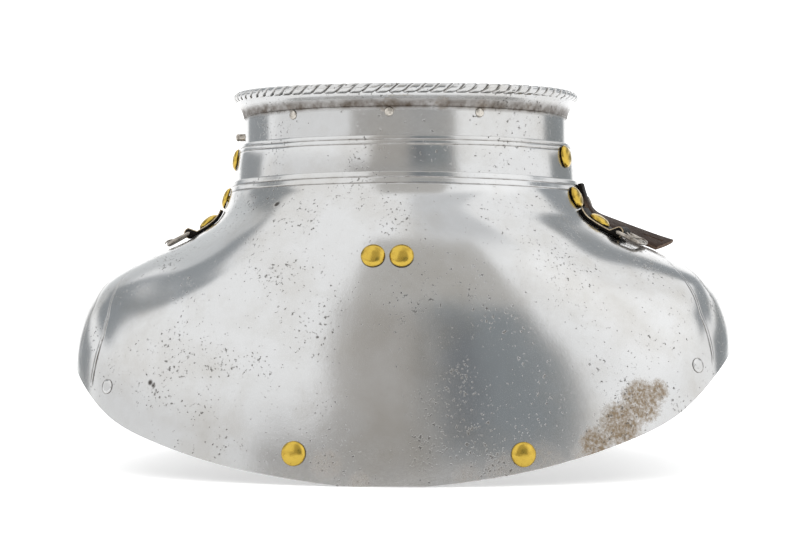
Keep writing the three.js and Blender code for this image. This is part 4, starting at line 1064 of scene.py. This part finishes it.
class GORGET_OT_buckles(bpy.types.Operator):
    """Builds the black leather chapes with their steel buckles and tongues"""
    bl_idname = "gorget.buckles"
    bl_label = "Chapes and buckles"

    def execute(self, context):
        for side, azimuth in CHAPES:
            self.chape(context, side, azimuth)
            self.frame(context, side, azimuth)
        return {"FINISHED"}

    @staticmethod
    def plane(azimuth):
        angle = math.radians(azimuth)
        return Vector((math.sin(angle), -math.cos(angle), 0)), Vector((math.cos(angle), math.sin(angle), 0))

    @classmethod
    def above(cls, azimuth, height, distance):
        """Point over the front plate in the upright plane of an azimuth, as out and height."""
        outward, _ = cls.plane(azimuth)
        skin = face("front_main")
        point, normal = skin.point(azimuth, height) - NECK_AXIS, skin.normal(azimuth, height)
        square = Vector((normal.dot(outward), normal.z)).normalized()
        return Vector((point.dot(outward), point.z)) + square * distance

    @classmethod
    def bar(cls, azimuth):
        return cls.above(azimuth, BAR_HEIGHT, CHAPE_SEAT + LOOP_RADIUS)

    def chape(self, context, side, azimuth):
        fittings = context.scene.gorget_fittings
        outward, across = self.plane(azimuth)
        thick = fittings.chape_thickness
        centre = self.bar(azimuth)
        heights = np.linspace(CHAPE_TOP, BAR_HEIGHT, 15)
        under = [self.above(azimuth, h, CHAPE_SEAT) for h in heights][:-1]
        over = [self.above(azimuth, h, CHAPE_SEAT + thick) for h in heights][:-2]
        last = under[-1] - under[-2]
        first_turn = math.atan2(last.y, last.x) - math.pi / 2
        loop = [centre + Vector((math.cos(t), math.sin(t))) * LOOP_RADIUS
                for t in first_turn + np.linspace(0, 1.12 * math.pi, 15)]
        ring = under + loop + list(reversed(over))
        shares = np.array([-1, -0.93, -0.6, -0.2, 0.2, 0.6, 0.93, 1]) / 2
        shrink = np.array([0.45, 0, 0, 0, 0, 0, 0, 0.45]) * MM
        ahead = [ring[(n + 1) % len(ring)] - ring[n - 1] for n in range(len(ring))]
        turning = sum(ring[n - 1].cross(ring[n]) for n in range(len(ring)))
        inward = [Vector((-d.y, d.x)).normalized() * (1 if turning > 0 else -1) for d in ahead]
        columns = []
        for share, pull in zip(shares, shrink):
            column = []
            for p, into in zip(ring, inward):
                narrowing = 0.62 + 0.38 * math.sqrt(min(1, (p - ring[0]).length / (5 * MM)))
                q = p + into * pull
                column.append(tuple(NECK_AXIS + outward * q.x + Vector((0, 0, q.y))
                                    + across * fittings.chape_width * narrowing * share))
            columns.append(column)
        rows = len(ring)
        faces = [corners[:1] + corners[:0:-1] for corners in ring_faces(len(columns), rows)[:-2]]
        faces += [tuple(range(start, start + rows)) for start in (0, (len(columns) - 1) * rows)]
        slots = [int(i in (0, len(columns) - 2) and j >= len(under) + 3)
                 for i in range(len(columns) - 1) for j in range(rows)] + [0, 0]
        make_piece(f"chape_{side}_leather", (np.array(columns).reshape(-1, 3), faces, slots),
                   ("black", "cut"), "front", f"chape_{side}", sharp=60)

    def frame(self, context, side, azimuth):
        """The buckle's frame: a bar, two swelling rails and a rounded end, and its tongue."""
        fittings = context.scene.gorget_fittings
        outward, across = self.plane(azimuth)
        wire = fittings.buckle_wire
        bar = self.bar(azimuth)
        height = BAR_HEIGHT
        while self.above(azimuth, height, 0).x < bar.x + fittings.buckle_length:
            height -= 0.2 * MM
        end = self.above(azimuth, height, 0.8 * MM + wire * 0.8)
        run = (end - bar).normalized()
        along = outward * run.x + Vector((0, 0, run.y))
        upward = across.cross(along).normalized()
        if upward.z < 0:
            upward = -upward
        origin = NECK_AXIS + outward * bar.x + Vector((0, 0, bar.y))
        far = fittings.buckle_length - 0.8 * MM - wire
        half = fittings.buckle_width / 2 - wire
        corners = [(Vector(place), radius * MM) for place, radius in (
            ((0, -half), 0.7), ((0, half), 0.7), ((far, half), 3.2), ((far, -half), 3.2))]
        path = []
        for n, (corner, radius) in enumerate(corners):
            before, (after, next_radius) = corners[n - 1][0], corners[(n + 1) % 4]
            into = corner + (before - corner).normalized() * radius
            out_of = corner + (after - corner).normalized() * radius
            path += [into * (1 - t) ** 2 + corner * 2 * t * (1 - t) + out_of * t * t
                     for t in np.linspace(0, 1, 7)]
            goal = after + (corner - after).normalized() * next_radius
            path += [out_of.lerp(goal, t) for t in np.linspace(0, 1, 8)[1:-1]]
        widths = np.array([0.78 * MM if p.x < 0.6 * MM else wire * (0.86 + 0.2 * p.x / far) for p in path])
        centre = Vector((far / 2, 0))
        spine = [tuple(origin + along * p.x + across * p.y) for p in path]
        sideways = [tuple((along * (p - centre).x + across * (p - centre).y).normalized()) for p in path]
        shape = tube(spine, sideways, [tuple(upward)] * len(path), widths, widths * 0.82, 14, closed=True)
        make_piece(f"buckle_{side}_frame", shape, ("fitting",), "front", f"buckle_{side}",
                   sharp=60)
        rest = (0.82 * wire + 0.5 * MM) / MM
        knots = [(0.9, 0.1), (1.9, 0.6), (4, 0.35), (7, 0.6), (9.5, rest), (11.5, rest + 0.05),
                 (12.6, rest - 0.35)]
        xs = np.linspace(knots[0][0], knots[-1][0], 26)
        zs = spline(*zip(*knots), xs)
        spine = [tuple(origin + along * x * MM + upward * z * MM) for x, z in zip(xs, zs)]
        size = (0.8 - 0.35 * (xs - xs[0]) / (xs[-1] - xs[0])) * MM
        shape = tube(spine, [tuple(across)] * len(xs), [tuple(upward)] * len(xs), size, size * 0.75, 12)
        make_piece(f"buckle_{side}_tongue", shape, ("fitting",), "front", f"buckle_tongue_{side}",
                   sharp=60)


CHAPES = (("left", -80), ("right", 73.5))
CHAPE_TOP = 117.6 * MM     # height of a chape's upper end
CHAPE_SEAT = 0.3 * MM      # how far its underside lies over the plate
BAR_HEIGHT = 104.5 * MM    # height of the plate under the buckle's bar
LOOP_RADIUS = (0.8 * math.sqrt(2) + 0.3 + 1.1) * MM    # the bar's half, a gap and the leather round it

# Stations along the strap: share of the way down, and how far the rear edge stands off the plate.
STRAP_STATIONS = ((0, 0), (0.123, 0.02), (0.273, 0.08), (0.423, 0.24), (0.56, 0.5), (0.683, 0.72),
                  (0.82, 0.86), (0.915, 0.93), (1, 1.06))
STRAP_TOP = 130 * MM       # height of the plate under the end that stands against the neck
STRAP_LOW = 93.4 * MM      # height of the plate under the free end
STRAP_SLANT = 5.6 * MM     # how much lower the free end reaches at its rear corner
STRAP_LINE = -5.7 * MM     # the strap's middle line lies this far along Y from the neck's axis
STRAP_SEAT = 0.45 * MM     # how far its underside lies over the plate
STRAP_LIFT = 6.8 * MM      # how far the rear edge stands off at the free end
STRAP_RIVET_HEIGHT = 121 * MM
SLIT_REACH = 116 * MM      # the slit's middle lies this far out along X


class GORGET_OT_strap(bpy.types.Operator):
    """Builds the shoulder strap and its rivet"""
    bl_idname = "gorget.strap"
    bl_label = "Shoulder strap"

    def execute(self, context):
        fittings = context.scene.gorget_fittings
        width = fittings.strap_width
        along = np.linspace(0, 1, 64)
        reach = np.array([(self.under(0, way, 0, width) - NECK_AXIS).x for way in along])
        slit = [np.interp(SLIT_REACH + side * fittings.slit_length / 2, reach, along) for side in (-1, 1)]
        along = np.sort(np.concatenate([along, slit]))
        gap = fittings.slit_width / width / 2
        across = np.sort(np.concatenate([np.linspace(-0.5, 0.5, 15), [-gap, gap, -0.49, 0.49]]))
        lifts = spline(*zip(*STRAP_STATIONS), along)
        bottom = np.array([[tuple(self.under(share, way, lift, width)) for share in across]
                           for way, lift in zip(along, lifts)])
        normal = np.cross(np.gradient(bottom, axis=0), np.gradient(bottom, axis=1))
        normal /= np.linalg.norm(normal, axis=2, keepdims=True)
        if normal[..., 2].mean() < 0:
            normal = -normal
        rubbed = 1 - 0.22 * np.clip(np.abs(across) * 2 - 0.82, 0, 1)[None, :, None] / 0.18
        top = bottom + normal * fittings.strap_thickness * rubbed
        in_slit = (along[:-1] >= slit[0] - 1e-6) & (along[:-1] < slit[1] - 1e-6)
        between = (across[:-1] >= -gap - 1e-6) & (across[:-1] < gap - 1e-6)
        vertices, faces, _ = slab(top, bottom, ~(in_slit[:, None] & between[None, :]))
        far = len(along) * len(across)
        slots = [int(len({corner >= far for corner in corners}) > 1) for corners in faces]
        dark = np.repeat(ease((0.36 - along) / 0.22)[:, None], len(across), 1)
        make_piece("shoulder_strap_leather", (vertices, faces, slots), ("brown", "cut_brown"), "front",
                   "shoulder_strap", bevel=0.25 * MM, sharp=60,
                   shades={"hollow": np.tile(dark.ravel(), 2)})
        profile = [(0, -4.6), (2.6, -4.4), (2.6, -3.8), (1.5, -3.8), (1.5, 0), (2.8, 0), (2.8, 0.3),
                   (2.1, 0.7), (0, 0.9)]
        vertices, faces = turned([(radius * MM, level * MM) for radius, level in profile], 32)
        middle = sum(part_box("strap_rivet"), Vector()) / 2 - NECK_AXIS
        azimuth = 90 + math.degrees(math.asin(middle.y / middle.xy.length))
        skin = face("front_main")
        vertices = placed(vertices, skin.over(azimuth, STRAP_RIVET_HEIGHT, 2.5 * MM),
                          skin.normal(azimuth, STRAP_RIVET_HEIGHT))
        make_piece("strap_rivet_head", (vertices, faces), ("fitting",), "front", "strap_rivet",
                   sharp=50)
        return {"FINISHED"}

    @staticmethod
    def under(share, way, lift, width):
        """Point of the strap's underside."""
        skin = face("front_main")
        way = way * (0.93 - 0.06 * (share + 0.5))
        height = STRAP_TOP + (STRAP_LOW - STRAP_SLANT * share - STRAP_TOP) * way
        y = STRAP_LINE + width * share
        azimuth = 90.0
        for _ in range(7):
            point = skin.point(azimuth, height) - NECK_AXIS
            azimuth = 90 + math.degrees(math.asin(y / point.xy.length))
        return skin.over(azimuth, height, STRAP_SEAT + STRAP_LIFT * lift * (share + 0.5))


class GORGET_OT_closing(bpy.types.Operator):
    """Builds the hinge between the halves and the closing peg"""
    bl_idname = "gorget.closing"
    bl_label = "Hinge and peg"

    def execute(self, context):
        fittings = context.scene.gorget_fittings
        plates = context.scene.gorget_plates
        skin = face("back_collar")
        spot = PEG_AZIMUTH + 360, PEG_HEIGHT
        reach = plates.thickness + plates.fit_gap + fittings.peg_reach
        radius = fittings.peg_radius
        profile = [(0, -2.5 * MM), (2.6 * MM, -2.3 * MM), (3.1 * MM, -1.9 * MM), (3.1 * MM, -1.5 * MM),
                   (radius, -1.5 * MM), (radius, reach - 1.6 * MM), (radius - 0.15 * MM, reach - 1.5 * MM),
                   (radius - 0.15 * MM, reach - 1.3 * MM), (radius, reach - 1.2 * MM),
                   (radius, reach - 0.4 * MM), (radius - 0.4 * MM, reach), (0, reach)]
        vertices, faces = turned(profile, 32)
        make_piece("closing_peg_pin", (placed(vertices, skin.point(*spot), skin.normal(*spot)), faces),
                   ("fitting",), "back_top", "closing_peg", sharp=35)
        self.hinge()
        return {"FINISHED"}

    @staticmethod
    def hinge():
        """Two curved leaves with their knuckles, riveted flush, on one pin."""
        pin_low, pin_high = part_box("hinge_pin")
        axis = (pin_low + pin_high) / 2
        angle = math.radians(HINGE_AZIMUTH)
        outward = Vector((math.sin(angle), -math.cos(angle), 0))
        along = Vector((math.cos(angle), math.sin(angle), 0))
        centre = np.array((axis.x, axis.y, 0))
        base = (axis - NECK_AXIS).dot(outward)
        for half, way, knuckle_low, knuckle_high in (("front", -1, 54.0, 58.35), ("back", 1, 58.65, 63.0)):
            node = f"hinge_{half}_leaf"
            low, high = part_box(node)
            skin = face(f"{half}_main")
            inner, outer = [], []
            for step in np.linspace(1.3 * MM, 11.6 * MM, 14):
                line = NECK_AXIS + along * way * step + along * (axis - NECK_AXIS).dot(along)
                azimuth = HINGE_AZIMUTH + way * math.degrees(step / HINGE_REACH)
                for z in np.linspace(low.z, high.z, 9):
                    wall = (skin.point(azimuth, z) - NECK_AXIS).dot(outward) + 0.25 * MM
                    raised = wall + 1.0 * MM
                    if step < 3 * MM:
                        raised = max(raised, base - 0.95 * MM)
                    inner.append(tuple(line + outward * wall + Vector((0, 0, z))))
                    outer.append(tuple(line + outward * raised + Vector((0, 0, z))))
            leaf = slab(np.array(outer).reshape(14, 9, 3), np.array(inner).reshape(14, 9, 3))
            barrel = [(1.0, knuckle_low), (1.75, knuckle_low), (2.0, knuckle_low + 0.25),
                      (2.0, knuckle_high - 0.25), (1.75, knuckle_high), (1.0, knuckle_high)]
            vertices, faces = turned_ring([(radius * MM, level * MM) for radius, level in barrel], 28)
            make_piece(f"hinge_{half}_plate", merged(leaf[:2], (vertices + centre, faces)), ("fitting",),
                       half, node, bevel=0.15 * MM, sharp=40)
        pin = [(0, pin_low.z), (1.2 * MM, pin_low.z), (1.6 * MM, pin_low.z + 0.3 * MM), (1.6 * MM, 53.7 * MM),
               (0.9 * MM, 53.7 * MM), (0.9 * MM, 63.3 * MM), (1.6 * MM, 63.3 * MM),
               (1.6 * MM, pin_high.z - 0.3 * MM), (1.2 * MM, pin_high.z), (0, pin_high.z)]
        vertices, faces = turned(pin, 28)
        make_piece("hinge_pin_rod", (vertices + centre, faces), ("fitting",), "front", "hinge_pin",
                   sharp=40)


HINGE_AZIMUTH = 96.2       # of the hinge's pin, and how far out it lies
HINGE_REACH = 153.5 * MM


# What the studio shows the steel, as seen from the gorget: large soft cards in a white tent. Each has
# the azimuth of its middle and half its width, the elevation of its middle and half its height, the
# softness of its edge, all in degrees, and its colour.
CARDS = (
    (78, 24, 40, 20, 20, "#FFFFFF"),       # soft box on the right
    (-60, 38, -2, 16, 14, "#DBDBDB"),      # its weaker side on the left, low down
    (45, 36, 76, 13, 12, "#CBCCCD"),       # gap between the lamps overhead
    (9, 28, 36, 27, 3.5, "#B6B4B0"),       # grey card in front
    (9, 28, 8, 22, 3.5, "#ABA8A4"),        # its lower half, in shade
    (2.5, 35.5, -2, 12, 4, "#A19F9C"),     # its wider foot
    (21, 14, 20, 13, 8, "#84898C"),        # the camera's side, darker and cooler
    (13, 4, 19, 9, 5, "#707377"),
    (-145, 16, 27, 12, 5, "#BFC1C2"),      # far edge of the flags on the left, lit
    (-111, 22, 37, 9, 4, "#8F9396"),       # dark flags behind, on the left
    (-108, 19, 26, 6, 5, "#8F9396"),
    (-127, 19, -1, 13, 4, "#8F9294"),
    (152, 9, 36, 18, 5, "#8D9194"),        # and on the right
    (134, 12, 24, 7, 4, "#8D9194"),
    (119, 20, 26, 6, 5, "#93979A"),
    (138, 20, -1, 13, 4, "#85898B"),
)


class GORGET_OT_studio(bpy.types.Operator):
    """Sets the pale floor, the soft light and the camera"""
    bl_idname = "gorget.studio"
    bl_label = "Studio"

    def execute(self, context):
        studio = context.scene.gorget_studio
        self.floor(studio)
        self.surround(context, studio)
        self.camera(context, studio)
        return {"FINISHED"}

    @staticmethod
    def floor(studio):
        mesh = bpy.data.meshes.new("floor")
        mesh.from_pydata([(-25, -25, -0.0001), (25, -25, -0.0001), (25, 25, -0.0001), (-25, 25, -0.0001)], [],
                         [(0, 1, 2, 3)])
        floor = bpy.data.objects.new("floor", mesh)
        bpy.context.scene.collection.objects.link(floor)
        surface, tree, shader = new_material("matt_white_board")
        places = add(tree, "TexCoord", output="Object")
        fibre = add(tree, "TexNoise", {"Vector": places, "Scale": 1 / (2 * MM), "Detail": 4.0})
        rough = add(tree, "MapRange", {"Value": fibre, "To Min": 0.55, "To Max": 0.7})
        connect(tree, shader, Roughness=rough)
        shader.inputs["Base Color"].default_value = tuple(studio.floor)
        shader.inputs["Emission Color"].default_value = (1.0, 1.0, 1.0, 1.0)
        shader.inputs["Emission Strength"].default_value = studio.floor_glow
        mesh.materials.append(surface)

    @staticmethod
    def surround(context, studio):
        """A white surround with soft grey cards, worked out from the direction alone."""
        world = bpy.data.worlds.new("white_surround")
        context.scene.world = world
        world.use_nodes = True
        tree = world.node_tree
        tree.nodes.clear()
        direction = add(tree, "TexCoord", output="Generated")
        parts = add(tree, "SeparateXYZ", {0: direction}).node.outputs
        back = add(tree, "Math", {0: parts["Y"], 1: -1.0}, operation="MULTIPLY")
        azimuth = add(tree, "Math", {0: parts["X"], 1: back}, operation="ARCTAN2")
        elevation = add(tree, "Math", {0: parts["Z"]}, operation="ARCSINE")
        shade = tuple(linear("#F1F1F1"))
        for around, half_wide, up, half_high, soft, code in CARDS:
            masks = []
            for value, middle, half in ((azimuth, around, half_wide), (elevation, up, half_high)):
                shifted = add(tree, "Math", {0: value, 1: math.radians(middle)}, operation="SUBTRACT")
                away = add(tree, "Math", {0: shifted}, operation="ABSOLUTE")
                masks.append(add(tree, "MapRange", {
                    "Value": away, "From Min": math.radians(half - soft / 2),
                    "From Max": math.radians(half + soft / 2), "To Min": 1.0, "To Max": 0.0},
                    interpolation_type="SMOOTHSTEP"))
            mask = add(tree, "Math", {0: masks[0], 1: masks[1]}, operation="MULTIPLY")
            shade = add(tree, "Mix", {"Factor": mask, "A": shade, "B": linear(code)}, "Result",
                        data_type="RGBA")
        light = add(tree, "Background", {"Color": shade, "Strength": studio.surround})
        end = tree.nodes.new("ShaderNodeOutputWorld")
        tree.links.new(light, end.inputs[0])

    @staticmethod
    def camera(context, studio):
        data = bpy.data.cameras.new("photo_camera")
        data.sensor_width = 36.0
        data.lens = studio.lens
        data.clip_start = 0.01
        data.clip_end = 100
        camera = bpy.data.objects.new("photo_camera", data)
        turn = studio.azimuth
        left = Vector((-math.cos(turn), -math.sin(turn), 0))
        spot = Vector((math.sin(turn), -math.cos(turn), 0)) * studio.distance + left * studio.aside
        camera.location = NECK_AXIS + spot + Vector((0, 0, studio.height))
        camera.rotation_euler = (math.radians(90), 0, turn)
        context.scene.collection.objects.link(camera)
        context.scene.camera = camera
        context.scene.view_settings.view_transform = "Standard"


STEPS = (GORGET_OT_main_plates, GORGET_OT_neck_lames, GORGET_OT_collars, GORGET_OT_rivets,
         GORGET_OT_buckles, GORGET_OT_strap, GORGET_OT_closing, GORGET_OT_studio)
GROUPS = {"gorget_plates": GorgetPlateSizes, "gorget_fittings": GorgetFittingSizes,
          "gorget_finish": GorgetFinish, "gorget_studio": GorgetStudio}


class GORGET_PT_panel(bpy.types.Panel):
    """Lists the gorget's pieces, sizes and colours"""
    bl_idname = "GORGET_PT_panel"
    bl_label = "Steel gorget"
    bl_space_type = "VIEW_3D"
    bl_region_type = "UI"
    bl_category = "Gorget"

    def draw(self, context):
        layout = self.layout
        for step in STEPS:
            layout.operator(step.bl_idname)
        for name in GROUPS:
            group = getattr(context.scene, name)
            box = layout.box()
            for key in group.__annotations__:
                box.prop(group, key)


def register():
    for name, group in GROUPS.items():
        bpy.utils.register_class(group)
        setattr(bpy.types.Scene, name, PointerProperty(type=group))
    for made in (*STEPS, GORGET_PT_panel):
        bpy.utils.register_class(made)


def unregister():
    for made in (GORGET_PT_panel, *reversed(STEPS)):
        bpy.utils.unregister_class(made)
    for name, group in GROUPS.items():
        delattr(bpy.types.Scene, name)
        bpy.utils.unregister_class(group)


def main():
    register()
    for step in STEPS:
        operator = getattr(bpy.ops.gorget, step.bl_idname.split(".")[1])
        operator()


if __name__ == "__main__":
    main()
